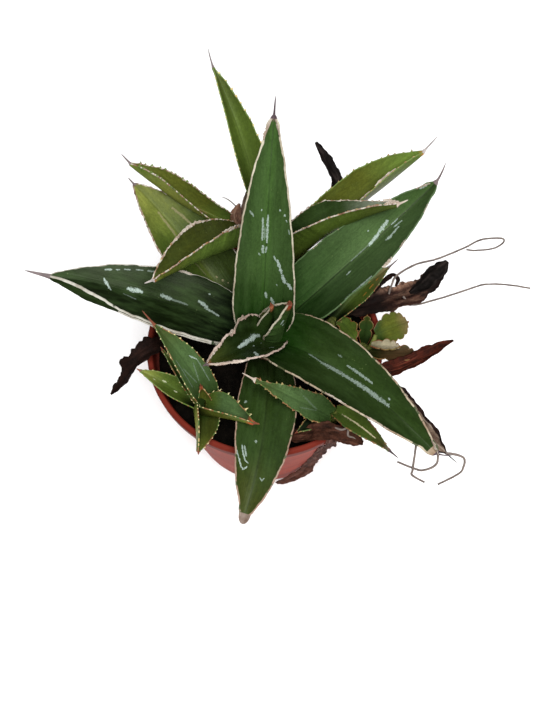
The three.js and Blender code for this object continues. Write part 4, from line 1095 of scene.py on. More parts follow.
# %% Grow the main leaves
MAIN_LEAVES = {
    "main_bud": grown((1, 4, 166), (350, 0), (86, 84), (40, 17), (0.75, 0.3), (1.3, 1), (62, 66), (0, 0), 7,
        spine=4, tones=(SHADE, MOSS, NIGHT), under=(LEAF, IVY, SHADE),
        rim=[(0, 0.7), (1, 0.9)], bloom=0.1, spacing=0.6, columns=(19, 11), spine_horn=RED_SPINE,
        brown_tip=0.16, tip_tone=(128, 78, 50)),
    "leaf_inner_east": grown((6, 2, 163), (2, 4), (81, 74), (49, 29), (0.7, 0.35), (1.7, 1), (58, 47), (2, 5),
        10, spine=3, tones=(SHADE, LEAF, NIGHT), under=(LEAF, LEAF, IVY),
        bloom=0.08, rim=[(0, 0.9), (0.5, 1.3), (1, 1.3)], spacing=0.6, columns=(23, 13), brown_tip=0.13,
        tip_tone=(112, 44, 28), wave=0.35, spine_horn=RED_SPINE, streaks=[(0.74, -0.7, 0.78, -0.7, 1.0, 0.6)],
        under_streaks=[(0.62, -0.55, 0.7, -0.5, 1.2, 0.8), (0.56, -0.4, 0.6, -0.35, 1.0, 0.8)]),
    "leaf_inner_southwest": grown((5, -2, 161), (225, -7), (54, 19), (74, 44), (0.65, 0.38), (1.45, 1),
        (45, 36), (-1, -14), 9, spine=3, tones=(IVY, SHADE, OLIVE), bloom=0.16, edge=0.15,
        spacing=0.6, columns=(31, 15), horn=PAPERY_HORN, rim=[(0, 1.0), (0.45, 1.4), (0.7, 1.9), (1, 2.2)],
        wave=0.6, bites_right=[(0.6, 0.06, 3.2)], plump=[(0.87, 0.07, 1.8)], brown_tip=0.07,
        tip_tone=(96, 60, 40), jag=0.35,
        streaks=[(0.57, -0.1, 0.4, -0.2, 3.6, 0.8), (0.4, -0.2, 0.29, -0.3, 4.2, 0.85),
            (0.29, -0.3, 0.21, -0.28, 2.4, 0.6), (0.5, 0.5, 0.56, 0.86, 2.4, 0.8),
            (0.39, 0.1, 0.38, 0.1, 1.4, 0.6), (0.245, 0.06, 0.24, 0.06, 1.1, 0.6),
            (0.32, 0.6, 0.3, 0.7, 1.2, 0.35)],
        flakes=[(-1, 0.44, 0.68, 2.6, 1.0, 43), (-1, 0.86, 1.0, 1.4, 0.8, 41),
            (1, 0.68, 0.97, 1.6, -1.0, 42)]),
    "leaf_north": grown((-1, 6, 158), (87, -3), (72, 40), (163, 52), (0.55, 0.2), (1.65, 0.8), (33, 33),
        (2, 0), 8, spine=11, tones=(BOTTLE, LEAF, LEAF), rib=(62, 104, 30), rib_share=0.12,
        bloom=0.35, fold=0.4, rim=[(0, 0.7), (0.5, 0.7), (0.8, 0.85), (0.93, 1.2), (1, 1.0)], brown_tip=0.03,
        spine_horn=DARK_SPINE, plump=[(0.965, 0.02, 1.6)],
        streaks=[(0.603, -0.02, 0.487, -0.02, 1.7, 0.7), (0.593, 0.19, 0.497, 0.15, 1.6, 0.65),
            (0.55, 0.08, 0.5, 0.07, 1.4, 0.3), (0.47, 0.12, 0.44, 0.1, 2.2, 0.7),
            (0.465, -0.02, 0.44, 0.02, 1.4, 0.6), (0.43, -0.3, 0.415, -0.36, 1.4, 0.8),
            (0.415, -0.42, 0.388, -0.5, 2.6, 0.95), (0.385, -0.5, 0.362, -0.56, 2.2, 0.9),
            (0.352, -0.6, 0.325, -0.68, 2.8, 0.9), (0.325, -0.78, 0.312, -0.9, 3.0, 0.95),
            (0.238, -0.03, 0.217, -0.08, 2.2, 0.7), (0.217, -0.24, 0.19, -0.32, 2.6, 0.75),
            (0.3, -0.4, 0.295, -0.42, 1.0, 0.6), (0.638, -0.54, 0.634, -0.54, 1.5, 0.85),
            (0.623, -0.74, 0.618, -0.76, 1.7, 0.9), (0.603, -0.8, 0.598, -0.82, 1.3, 0.8),
            (0.565, -0.88, 0.55, -0.9, 1.0, 0.5), (0.63, 0.76, 0.606, 0.58, 1.1, 0.55),
            (0.63, 0.27, 0.625, 0.27, 1.1, 0.85), (0.44, 0.26, 0.43, 0.2, 1.1, 0.5)],
        flakes=[(1, 0.905, 0.985, 1.7, 0.5, 51), (-1, 0.92, 0.985, 1.0, 0.4, 52)]),
    "leaf_southeast": grown((4, -1, 158), (320, -9), (46, -8), (163, 53), (0.65, 0.27), (1.85, 0.87),
        (36, 33), (6, 21), 8, spine=4, tones=(BOTTLE, IVY, IVY), rib=(44, 66, 30),
        rib_share=0.05, bloom=0.2, shade=(0.0, 0.32), horn=THIN_HORN,
        rim=[(0, 0.4), (0.4, 0.5), (0.6, 0.62), (0.9, 0.8), (1, 1.2)], cap=0.96, crease=0.25,
        spine_horn=DARK_SPINE, plump=[(0.97, 0.025, 1.6)], spine_bend=(6, 3.5, 0), fold=0.35,
        rim_right=[(0, 0.6), (0.6, 0.75), (0.9, 0.9), (1, 1.2)],
        streaks=[(0.285, 0.0, 0.375, -0.06, 1.3, 0.3), (0.375, -0.07, 0.55, -0.03, 2.8, 0.36),
            (0.53, -0.03, 0.73, 0.06, 3.2, 0.42), (0.492, 0.28, 0.623, 0.32, 1.8, 0.5),
            (0.715, 0.3, 0.72, 0.3, 1.7, 0.55), (0.43, 0.4, 0.45, 0.4, 1.2, 0.3)],
        flakes=[(-1, 0.52, 0.62, 1.1, 0.6, 61), (-1, 0.7, 0.8, 0.9, 0.3, 62), (1, 0.93, 1.0, 1.4, 0.8, 63)]),
    "leaf_west": grown((-9, 3, 156), (170, 5), (37, 9), (157, 53), (0.6, 0.32), (1.9, 0.94), (35, 17),
        (-3, -1), 8, spine=15, tones=(NIGHT, SHADE, SHADE), rib=(40, 62, 34),
        rib_share=0.05, bloom=0.3, shade=(0.56, 0.0), fold=0.45, horn=WHITE_HORN, bites=[(0.82, 0.13, -2.8)],
        rim=[(0, 0.7), (0.5, 0.8), (0.7, 1.0), (1, 0.9)], crease=0.35,
        seam=[(0.6, 1.0), (0.66, 0.95), (0.763, 0.64), (0.87, 0.38), (0.96, 0.2), (1, 0.15)],
        spine_horn=GREY_SPINE, plump=[(0.97, 0.02, 0.8)], under=(SHADE, SHADE, SHADE),
        rim_right=[(0, 0.25), (0.36, 0.25), (0.4, 0.8), (0.46, 0.7), (1, 0.75)], spine_radius=1.8, waist=0.15,
        streaks=[(0.758, -0.33, 0.735, -0.08, 2.0, 0.9), (0.735, -0.08, 0.718, 0.1, 1.5, 0.75),
            (0.645, -0.11, 0.583, -0.13, 3.0, 0.9), (0.495, -0.19, 0.448, -0.16, 2.8, 0.55),
            (0.448, -0.16, 0.367, -0.15, 1.4, 0.25), (0.318, -0.35, 0.275, -0.3, 2.4, 0.6),
            (0.283, -0.25, 0.205, -0.19, 1.5, 0.45), (0.76, -0.76, 0.735, -0.77, 1.2, 0.75),
            (0.715, -0.78, 0.7, -0.78, 1.0, 0.65), (0.68, -0.8, 0.655, -0.8, 1.0, 0.6),
            (0.63, -0.82, 0.6, -0.83, 0.9, 0.5), (0.58, -0.83, 0.55, -0.84, 1.2, 0.4),
            (0.288, -0.65, 0.283, -0.65, 1.4, 0.5), (0.66, 0.12, 0.6, 0.2, 1.0, 0.18)],
        flakes=[(-1, 0.39, 0.45, 0.9, 0.6, 71)]),
    "leaf_northeast": grown((4, 8, 154), (28, 12), (37, 21), (165, 55), (0.56, 0.37), (2, 0.92), (33, 33),
        (0, 18), 8, spine=13, tones=(BOTTLE, WAX, LEAF), rib=(96, 104, 76), rib_share=0.04,
        bloom=0.18, shade=(0.0, 0.4), fold=0.7, horn=FINE_HORN,
        rim=[(0, 0.6), (0.5, 0.75), (0.85, 0.9), (1, 0.9)], crease=0.4, spine_bend=(-3.5, 4.5, 0),
        bites_right=[(0.42, 0.06, 1.5)], plump=[(0.965, 0.025, 1.2)], brown_tip=0.02, spine_radius=1.6,
        foot_reach=0.7,
        streaks=[(0.608, -0.01, 0.67, 0.1, 2.8, 0.85), (0.68, 0.12, 0.73, 0.24, 2.9, 0.85),
            (0.735, -0.16, 0.777, -0.22, 1.2, 0.65), (0.735, 0.0, 0.77, 0.02, 1.0, 0.6),
            (0.675, -0.33, 0.7, -0.36, 2.4, 0.7), (0.69, -0.34, 0.75, -0.32, 1.4, 0.65),
            (0.45, -0.24, 0.47, -0.24, 1.5, 0.6), (0.64, 0.4, 0.645, 0.41, 1.1, 0.7),
            (0.5, 0.02, 0.6, 0.02, 0.9, 0.25), (0.925, 0.82, 0.955, 0.88, 2.0, 0.6),
            (0.39, -0.93, 0.527, -0.94, 1.6, 0.55)],
        flakes=[(-1, 0.585, 0.64, 2.0, -0.4, 81), (-1, 0.69, 0.73, 1.0, 0.4, 82),
            (-1, 0.86, 0.9, 1.1, 0.4, 84), (1, 0.91, 0.97, 1.0, 0.5, 83)]),
    "leaf_south": grown((2, -8, 146), (273, -20), (23, -13), (129, 45), (0.6, 0.38), (1.9, 0.7), (30, 20),
        (-7, -3), 7, spine=5, tones=(SHADE, IVY, OLIVE), rib=(74, 84, 46), rib_share=0.05,
        bloom=0.22, horn=TAN_HORN, rim=[(0, 0.45), (0.35, 0.5), (0.6, 0.8), (0.9, 1.0), (1, 1.3)], cap=0.978,
        blunt=True, edge=0.15, fold=0.35, plump=[(0.985, 0.03, 1.6)], cap_horn=WORN_CAP,
        streaks=[(0.675, -0.93, 0.715, -0.83, 1.2, 0.75), (0.715, -0.83, 0.752, -0.72, 1.2, 0.85),
            (0.752, -0.72, 0.765, -0.6, 1.2, 0.85), (0.765, -0.6, 0.745, -0.45, 1.1, 0.8),
            (0.64, -0.72, 0.68, -0.66, 1.1, 0.8), (0.68, -0.66, 0.712, -0.57, 1.2, 0.8),
            (0.712, -0.57, 0.725, -0.42, 1.0, 0.7), (0.638, -0.63, 0.69, -0.53, 1.3, 0.6),
            (0.38, -0.72, 0.395, -0.78, 1.5, 0.5), (0.593, -0.22, 0.6, -0.22, 1.9, 0.6),
            (0.787, 0.26, 0.8, 0.38, 0.9, 0.6), (0.8, 0.38, 0.785, 0.45, 0.9, 0.5)]),
    "leaf_northwest": grown((-9, 9, 146), (127, 11), (29, 20), (148, 53), (0.6, 0.47), (1.85, 0.87), (32, 21),
        (-16, 3), 7, spine=5, tones=(NIGHT, FERN, PALE), rib=(92, 100, 44), rib_share=0.35,
        bloom=0.12, shade=(0.0, 0.4), horn=FLAKED_HORN, rim=[(0, 0.7), (0.6, 0.9), (1, 1.0)], brown_tip=0.03,
        crease=0.35, wave=0.3, streak_tone=(128, 118, 92), jag=0.5, foot_reach=0.55,
        streaks=[(0.805, 0.07, 0.65, 0.13, 1.9, 0.6), (0.775, -0.52, 0.657, -0.53, 1.9, 0.55),
            (0.485, 0.18, 0.403, 0.14, 1.0, 0.3), (0.365, -0.1, 0.36, -0.1, 1.6, 0.8),
            (0.33, -0.2, 0.325, -0.2, 1.8, 0.8), (0.305, -0.3, 0.3, -0.3, 1.2, 0.7)],
        flakes=[(-1, 0.5, 0.8, 0.9, 0.3, 85)]),
}
MAIN_SHARED = dict(under=((70, 84, 44), (66, 82, 52), (72, 84, 58)))
grow_leaves(MAIN_LEAVES, 1, MAIN_SHARED, "leaf")

# %% [markdown]
# ## The offsets
# Young plants crowd round the old one. Their leaves are thinner, a fresher green, more deeply
# folded, and still have the small hooked teeth that the old leaves lose. The tallest offset stands
# behind, one is at the left in front, one at the right in front, and a single leaf of another shows
# at the right under a big one. They use the same sweep with more rows, because a tooth is only a
# millimetre high.

# %% Grow the offsets
BACK_OFFSET_LEAVES = {
    "back_offset_leaf_north": grown((-1, 88, 183), (111, 10), (63, 33), (121, 28), (0.55, 0.39), (1.7, 1),
        (49, 37), (3, 6), 5, spine=10, tones=(OLIVE, FERN, OLIVE), rib=(120, 140, 70),
        under=(LEAF, LEAF, SHADE), horn=GREEN_HORN, tooth_horn=PALE_TOOTH,
        spine_bend=(1.0, 2.0, 0.0), tooth=2.0, teeth=20, rib_share=0.12),
    "back_offset_leaf_west": grown((-11, 83, 183), (168, -13), (11, 38), (104, 32), (0.53, 0.58), (1.9, 0.96),
        (60, 66), (-43, 37), 6, spine=8, tones=(FRESH, MOSS, MOSS), teeth=22, tooth=2.0,
        under=(FRESH, PALE, FERN), horn=FLAKED_HORN, tooth_horn=GREEN_HORN,
        streak_tone=(132, 104, 70), jag=0.4, under_streaks=[(0.35, 0.1, 0.5, 0.2, 4.0, 0.5)],
        streaks=[(0.35, 0.1, 0.5, 0.2, 4.0, 0.5)]),
    "back_offset_leaf_southwest": grown((-8, 78, 184), (229, -10), (38, 9), (105, 44), (0.52, 0.48),
        (2, 0.93), (45, 55), (32, 10), 8, spine=5, tones=(OLIVE, OLIVE, OLIVE), wave=0.4,
        under=(FRESH, FRESH, MOSS), horn=FLAKED_HORN, rim=[(0, 0.8), (0.5, 1.1), (1, 1.0)],
        spine_horn=ASH_SPINE, brown_tip=0.04, tip_tone=(120, 80, 54), jag=0.5,
        flakes=[(1, 0.3, 0.5, 1.0, 0.3, 86), (-1, 0.45, 0.75, 1.0, 0.3, 87)]),
    "back_offset_leaf_east": grown((12.5, 64.5, 161.5), (366, -11.5), (64, 26), (115.5, 46.5), (0.45, 0.52),
        (0.8, 0.88), (75.5, 38.5), (-20, -40), 9.5, spine=6, tones=(NIGHT, IVY, DUSTY),
        wave=0.2, tooth=1.1, under=(OLIVE, FERN, OLIVE), horn=FLAKED_HORN, spine_horn=PAPER,
        jag=0.3, flakes=[(1, 0.9, 1.0, 1.5, 0.6, 91), (-1, 0.92, 1.0, 1.1, 0.5, 92)]),
    "back_offset_leaf_northeast": grown((8, 81, 170), (12, 6.5), (19, 47), (133, 41), (0.48, 0.59),
        (1.85, 0.93), (63, 52), (38, -28), 6, spine=13, tones=(OLIVE, MOSS, FRESH),
        teeth=24, tooth=1.6, under=(MOSS, MOSS, FRESH), horn=GREEN_HORN, shade=(0.0, 0.15),
        brown_tip=0.04, tip_tone=(150, 104, 60), spine_horn=ASH_SPINE,
        flakes=[(-1, 0.52, 0.66, 0.9, 0.3, 93), (-1, 0.7, 0.84, 1.5, 0.5, 94)]),
}
BACK_SHARED = dict(rim=[(0, 0.5), (0.5, 0.7), (1, 0.7)], teeth=18, tooth=0.9, spacing=0.55,
                   columns=(21, 11), bloom=0.12, uneven=0.25, edge=0.15, crease=0.3, rib_share=0.35,
                   under=((90, 106, 44), (100, 118, 52), (104, 120, 58)))
grow_leaves(BACK_OFFSET_LEAVES, 20, BACK_SHARED, "young_leaf")

LEFT_OFFSET_LEAVES = {
    "left_offset_leaf_heart": grown((-44, -48, 150), (107, 0), (79, 64), (19, 14), (0.8, 0.3), (1.7, 1),
        (49, 44), (0, 0), 2.4, spine=3, tones=(FRESH, MOSS, NIGHT), teeth=4, brown_tip=0.2,
        tip_tone=(140, 60, 36)),
    "left_offset_leaf_north": grown((-42, -46, 150), (128, 12), (67, 32), (76, 26), (0.67, 0.3), (1.85, 0.95),
        (39, 33), (1, 7), 3.4, spine=12, tones=(IVY, WAX, OLIVE), bloom=0.35, teeth=15,
        tooth=0.9, tooth_horn=PALE_TOOTH,
        streaks=[(0.28, 0.1, 0.5, 0.45, 1.0, 0.2), (0.28, -0.1, 0.48, -0.4, 1.0, 0.2),
            (0.5, -0.7, 0.56, -0.5, 1.0, 0.7), (0.3, 0.6, 0.62, 0.66, 0.8, 0.3),
            (0.24, -0.66, 0.5, -0.72, 0.8, 0.3)]),
    "left_offset_leaf_southeast": grown((-43, -52, 151), (328, 4), (47, 18), (50, 28), (0.6, 0.33),
        (1.6, 1.03), (55, 48), (-9, -24), 7, spine=4, tones=(FERN, WAX, NIGHT), teeth=8,
        tooth=1.9, hook=1.3, under=(OLIVE, MOSS, FRESH), tooth_horn=PALE_TOOTH,
        brown_tip=0.14, tip_tone=(138, 66, 40)),
    "left_offset_leaf_south": grown((-47, -52, 146), (278, -12), (38, 16), (43, 28), (0.6, 0.4), (1.8, 1),
        (54, 52), (-28, -42), 6, spine=2, tones=(BOTTLE, OLIVE, MOSS), teeth=12, tooth=0.9,
        under=(FRESH, PALE, OLIVE), tooth_horn=PALE_TOOTH),
    "left_offset_leaf_west": grown((-49, -48, 143), (155, 3), (42, 18), (53, 19), (0.6, 0.41), (1.85, 0.97),
        (45, 33), (4, 1), 2.8, spine=2, tones=(NIGHT, FERN, PALE), teeth=12, tooth=0.7,
        horn=GREEN_HORN, brown_tip=0.05, streak_tone=(176, 178, 150),
        streaks=[(0.4, 0.1, 0.44, 0.1, 1.3, 0.7), (0.6, -0.2, 0.65, -0.2, 1.2, 0.6),
            (0.75, 0.2, 0.78, 0.2, 1.1, 0.6)]),
    "left_offset_leaf_northwest": grown((-49, -47, 147), (129, 2), (46, 34), (50, 10), (0.7, 0.32), (1.6, 1),
        (45, 35), (1, 4), 2.4, spine=2, tones=(PALE, IVY, MOSS), teeth=9, tooth=0.7,
        tooth_horn=PALE_TOOTH),
}
SMALL_SHARED = dict(rim=[(0, 0.4), (0.5, 0.55), (1, 0.6)], teeth=10, tooth=0.8, spacing=0.42,
                    columns=(19, 11), bloom=0.12, horn=RUST_HORN, uneven=0.15, edge=0.1, crease=0.3,
                    rib_share=0.2, relief=0.12, spine_horn=RED_SPINE,
                    under=((76, 94, 36), (88, 108, 46), (92, 112, 50)))
grow_leaves(LEFT_OFFSET_LEAVES, 30, SMALL_SHARED, "young_leaf")

RIGHT_OFFSET_LEAVES = {
    "right_offset_leaf_west": grown((48, -59, 151), (167, -6), (37, 22), (66, 23), (0.66, 0.23), (1.4, 1.04),
        (37, 20), (-9, 0), 3.2, spine=10, tones=(LEAF, WAX, OLIVE), bloom=0.4, teeth=13,
        tooth=1.6, spine_horn=PAPER, wave=0.9, relief=0.6, plump=[(0.97, 0.04, 1.0)],
        streaks=[(0.2, 0.05, 0.42, 0.5, 1.2, 0.12), (0.2, -0.05, 0.42, -0.5, 1.2, 0.12)]),
    "right_offset_leaf_southeast": grown((53, -56, 151), (311, 5), (48, -4), (54, 17), (0.7, 0.34), (1.6, 1),
        (45, 25), (10, 3), 3, spine=7, tones=(FRESH, FERN, BARE), teeth=9, tooth=0.7,
        brown_tip=0.12, streak_tone=(196, 184, 150), spine_horn=DARK_SPINE,
        streaks=[(0.12, 0.08, 0.75, 0.04, 1.1, 0.95)]),
    "right_offset_leaf_southwest": grown((46, -58, 147), (210, 6), (30, 10), (29, 13), (0.6, 0.4), (1.7, 1),
        (45, 26), (0, 4), 2.6, spine=2, tones=(NIGHT, NIGHT, NIGHT), teeth=6, tooth=0.6),
}
grow_leaves(RIGHT_OFFSET_LEAVES, 40, SMALL_SHARED, "young_leaf")

EAST_OFFSET_LEAVES = {
    "east_offset_leaf": grown((54, 21, 151), (41, -7), (34, 20), (58, 21), (0.6, 0.46), (1.9, 0.97), (48, 28),
        (-1, -2), 3, spine=9, tones=(NIGHT, FERN, TAN), teeth=11, tooth=0.8,
        streak_tone=(176, 112, 46), spine_horn=GREY_SPINE,
        streaks=[(0.62, -0.42, 0.7, -0.38, 1.0, 0.8), (0.5, -0.5, 0.56, -0.46, 0.8, 0.7),
            (0.76, -0.3, 0.8, -0.28, 0.8, 0.7), (0.66, 0.1, 0.7, 0.12, 0.7, 0.5)]),
}
grow_leaves(EAST_OFFSET_LEAVES, 45, SMALL_SHARED, "young_leaf")

# %% [markdown]
# ## The little companion
# Another succulent has seeded itself by the rim: round, fleshy leaves with shallow scallops and a
# red-brown line along the edge. One is folded, one stands up, one is a flat disc, one shows its
# pale, speckled back, and one lies low and olive. The scallops are already in the outline rule, so
# a narrow bead of another tone and a blunt end are all that is new.

# %% Grow the companion
SCALLOP_EDGE = horn_material("scallop_edge", (92, 80, 38), (102, 58, 33), (82, 36, 24), 0.8, 12.0)
COMPANION_LEAVES = {
    "companion_leaf_folded": grown((59, 20, 149), (297, -3), (39, 8), (27, 16), (0.6, 0.5), (1.7, 1),
        (44, 30), (3, 0), 2, scallops=4, tones=(FRESH, FERN, FRESH), teeth=6, tooth=0.9,
        tooth_horn=RUST_HORN, streak_tone=(52, 70, 26),
        streaks=[(0.1, 0.05, 0.7, 0.5, 0.7, 0.6), (0.1, -0.05, 0.7, -0.5, 0.7, 0.6),
            (0.1, 0.0, 0.9, 0.0, 0.8, 0.6)]),
    "companion_leaf_upright": grown((77, 3, 146), (86, 0), (51, 50), (23, 12), (0.5, 0.5), (2.4, 0.7),
        (20, 11), (0, 0), 2, scallops=3, tones=(SHADE, IVY, OLIVE)),
    "companion_leaf_round": grown((84, 4, 159), (14, 0), (26, 17), (26, 26), (0.35, 0.53), (2.6, 0.6),
        (10, 8), (-5, -5), 2, scallops=5, tones=(IVY, MOSS, TAN), bloom=0.25),
    "companion_leaf_cupped": grown((80, -5, 160), (340, 10), (14, 32), (22, 12), (0.4, 0.52), (2.5, 0.6),
        (32, 34), (-15, 0), 2, scallops=4, tones=((96, 90, 70), (132, 124, 102), (156, 146, 126)),
        brown_specks=0.8, under=((96, 90, 70), (132, 124, 102), (156, 146, 126))),
    "companion_leaf_low": grown((79, -9, 155), (340, 30), (28, -6), (35, 15), (0.4, 0.6), (2.6, 0.6), (10, 6),
        (-3, -3), 2, scallops=4, tones=(SHADE, BARE, BARE), brown_specks=0.6),
}
COMPANION_SHARED = dict(rim=[(0, 0.4), (0.5, 0.55), (1, 0.6)], spacing=0.35, columns=(23, 13),
                        bloom=0.1, uneven=0.12, edge=0.12, crease=0.1, relief=0.25, blunt=True,
                        rib_share=0.25, horn=SCALLOP_EDGE,
                        under=((104, 108, 76), (120, 124, 90), (126, 128, 98)))
grow_leaves(COMPANION_LEAVES, 50, COMPANION_SHARED, "companion_leaf")

# %% [markdown]
# ## Dry leaves
# The oldest leaves have died back to brown, crumpled ribbons that lie over the rim or hang down the
# pot. Each follows a smooth path of points with a half width and a roll. Long creases and a ragged
# edge come from summed waves in the mesh itself, so that they show in the outline, and finer
# wrinkles from the bump of the material.

# %% Finishes of the dry leaves
TAN_UMBER = dead_material("tan_dead_leaf_painted_highlight", (15, 7, 5), (44, 24, 19), (134, 102, 84), 0.35,
                          0.1, 1.5, stretch=(1.6, 0.5, 1.0), black_ends=(0.55, 0.66))
UMBER_BACK = dead_material("umber_back", (8, 4, 3), (21, 10, 7), (46, 26, 20), 0.3, 0.04, 2.0)
ROSY_BROWN = dead_material("rosy_dead_leaf", (22, 11, 7), (54, 30, 21), (102, 66, 52), 0.45, 0.06, 2.5)
DUSTY_ROSE = dead_material("bleached_dead_leaf", (42, 22, 16), (76, 46, 37), (120, 86, 77), 0.5, 0.1,
                           2.8)
RUSSET = dead_material("russet_dead_leaf", (20, 7, 4), (52, 19, 11), (108, 54, 39), 0.5, 0.03, 3.0,
                       stretch=(7.0, 0.35, 1.0))
CHAR = dead_material("blackened_leaf", (5, 4, 3), (13, 10, 9), (92, 80, 76), 0.16, 0.02, 4.0)
BARK = dead_material("fibrous_bark", (36, 22, 17), (84, 56, 42), (128, 98, 78), 0.5, 0.15, 5.0,
                     solid_space=True, stretch=(3.0, 3.0, 0.5))
GREEN_STEM = dead_material("green_stem", (52, 58, 26), (86, 92, 42), (124, 122, 72), 0.4, 0.0, 6.0,
                           solid_space=True, stretch=(4.0, 4.0, 0.8), depth=0.0005)
BRACT = dead_material("brown_bract", (58, 38, 30), (106, 76, 60), (160, 134, 114), 0.5, 0.2, 7.0,
                      stretch=(9.0, 0.6, 1.0), depth=0.0006)
WHITE_INNER = dead_material("whitened_inner_skin", (60, 45, 36), (90, 76, 64), (166, 156, 144), 0.45,
                            0.3, 8.0, stretch=(9.0, 0.4, 1.0), depth=0.0006)
FIBRE = dead_material("dry_fibre", (74, 64, 60), (104, 94, 88), (136, 126, 116), 0.4, 0.1, 9.0,
                      depth=0.0003)
print("materials so far:", len(bpy.data.materials))

# %% Grow the dry leaves
DRY_LEAVES = {
    "dry_leaf_back": dict(cup=30, thick=1.6, tops=CHAR, backs=CHAR, seed=61, crease_depth=0.6, path=[
        [4, 83, 172, 5, 0], [28, 98, 170, 6, 0], [48, 113, 172, 6, 10], [58, 132, 176, 5.5, 20],
        [50.5, 148, 183, 5.5, 25], [41.2, 163, 189.3, 1.6, 20]]),
    "dry_leaf_east": dict(cup=15, thick=1.8, tops=TAN_UMBER, backs=UMBER_BACK, seed=62, rows=180, across=31,
                          limbs=[
        (3, [[112, 37, 164, 1.5], [121, 42, 166.5, 4.6], [129, 48, 171, 6.2], [135, 52.5, 175.5, 5.6],
             [139.5, 56, 179.5, 1.5]]),
        (1, [[84, 38, 163.5, 1.2], [90, 44, 167, 1.7], [96, 49, 168, 1.9], [100, 51, 168, 1.3],
             [103, 47, 167.5, 1.7], [101, 42, 166, 0.7]])],
        path=[
        [61, 30, 149, 6, 10], [71, 29, 154, 8.5, 0], [83, 29, 159.5, 11, -5], [95, 31, 162, 12, -5],
        [108, 34, 163, 11.5, -5], [120, 39, 165.5, 9.5, 5], [128, 45, 169.5, 7.5, 20],
        [137, 53, 177, 3.5, 30]]),
    "dry_leaf_low_east": dict(cup=25, thick=1.6, tops=RUSSET, backs=RUSSET, seed=63, ragged=0.1, path=[
        [69, -32, 149, 4, 0], [81, -30, 158.5, 5.5, 0], [91, -27, 161, 7, 0], [101, -24, 161, 7, -5],
        [112, -19, 162, 6.5, -5], [124, -13, 163, 5.5, -5], [132, -8, 164, 3.5, 0], [141, -4, 165, 0.9, 0]]),
    "dry_leaf_west": dict(cup=35, thick=1.6, tops=UMBER_BACK, backs=UMBER_BACK, seed=64, ragged=0.28,
                          crease_depth=1.1, curl=1.2, path=[
        [-58, 9, 131, 4, 0], [-66, 5, 143, 6, 0], [-75, 0, 153, 7.5, 5], [-83, -7, 158.5, 9, 10],
        [-92, -15, 159.5, 9.5, 20], [-100, -22, 154, 8.5, 25], [-108, -29, 144, 5, 20],
        [-118, -35, 134, 1.2, 10]]),
    "dry_leaf_front": dict(cup=22, thick=1.6, tops=ROSY_BROWN, backs=UMBER_BACK, seed=65, path=[
        [18, -72, 147, 4.5, 0], [29, -74, 152.5, 6.5, 0], [42, -74, 161, 7.5, 0], [53, -76, 161.5, 7, 0],
        [63, -79, 159, 5.5, 0], [70, -81, 156.5, 2, 0]]),
    "dry_leaf_hanging": dict(cup=8, thick=1.4, tops=DUSTY_ROSE, backs=DUSTY_ROSE, seed=66, rows=160, path=[
        [45, -66, 147, 3, 0], [47.5, -71.5, 156.8, 3.5, 0], [48.2, -76.8, 157.4, 4, 0],
        [48.2, -78, 152, 4, 0],
        [47.2, -76.8, 140, 4, 0], [44.2, -72.2, 112, 4, 0], [41.3, -69.3, 84, 4.5, 0], [38, -67.4, 56, 5, 0],
        [33, -69, 36, 5.5, 0], [22, -72.5, 25, 5, 0], [10, -74.5, 17, 2.2, 0]]),
}
FIBRE_RADIUS = 0.85
FIBRES = {
    "dry_leaf_east": [
        [[96, 37, 162.5], [98, 43, 167], [102, 49, 171], [117, 58, 172], [134, 63, 172], [156, 73, 172],
         [170, 80, 173], [186, 82, 172], [188, 79, 171], [180, 74, 170], [166, 72, 170], [158, 72, 171]],
        [[106, 33, 166], [114, 28, 162], [129, 32, 161], [143, 37, 160], [157, 42, 160], [172, 47, 160],
         [190, 48, 158], [209, 46, 156]]],
    "dry_leaf_front": [
        [[47, -69, 160], [54, -73, 163], [59, -72, 163], [59, -77, 162], [63, -78, 160], [66, -80, 158]]],
    "dry_leaf_southeast": [
        [[110, -97, 206], [111, -105, 201], [109, -109, 198], [102, -111, 195], [97, -109, 192],
         [87, -104, 190]],
        [[99, -89, 206], [98, -97, 199], [96, -110, 193], [96, -113, 190], [104, -117, 188]],
        [[115, -103, 206], [122, -104, 206], [127, -106, 204], [127, -110, 200], [124, -114, 198],
         [112, -119, 190]]],
}


def hang_fibres(skin, name, slot):
    for path in FIBRES.get(name, ()):
        thin = [[*point, FIBRE_RADIUS * (1 - 0.25 * k / len(path))] for k, point in enumerate(path)]
        limb_skin(skin, thin, 7, len(path) * 6, slot, 0.15, len(path))


for name, leaf in DRY_LEAVES.items():
    skin = ribbon_skin(Skin(), leaf["path"], leaf["cup"], leaf["thick"], leaf)
    hang_fibres(skin, name, 2)
    for limb_slot, path in leaf.get("limbs", ()):
        limb_skin(skin, path, 30, 60, limb_slot, 0.16, 90)
    skin.piece(name + "_dried", [leaf["tops"], leaf["backs"], FIBRE, CHAR], "dry_leaf", name)
print("dry ribbons:", len(DRY_LEAVES))

UNDER_LEAF, UNDER_LOOK = grown(
    (10, -6, 153), (320, -5), (46, -6), (160, 34), (0.45, 0.5), (2, 0.87), (20, 14), (2, 12), 1.8, spine=7,
    seed=67, rim=[(0, 1.4), (1, 2.0)], spacing=1.0, columns=(25, 15), relief=1.2, wave=1.4, uneven=1.0,
    crease=0.1)
skin = leaf_skin(UNDER_LEAF, {**PLAIN_LEAF, **UNDER_LOOK})
skin.slots = [0 if slot == BLADE else 1 for slot in skin.slots]
hang_fibres(skin, "dry_leaf_southeast", 2)
skin.piece("dry_leaf_southeast_dried", [WHITE_INNER, UMBER_BACK, FIBRE], "dry_leaf", "dry_leaf_southeast")

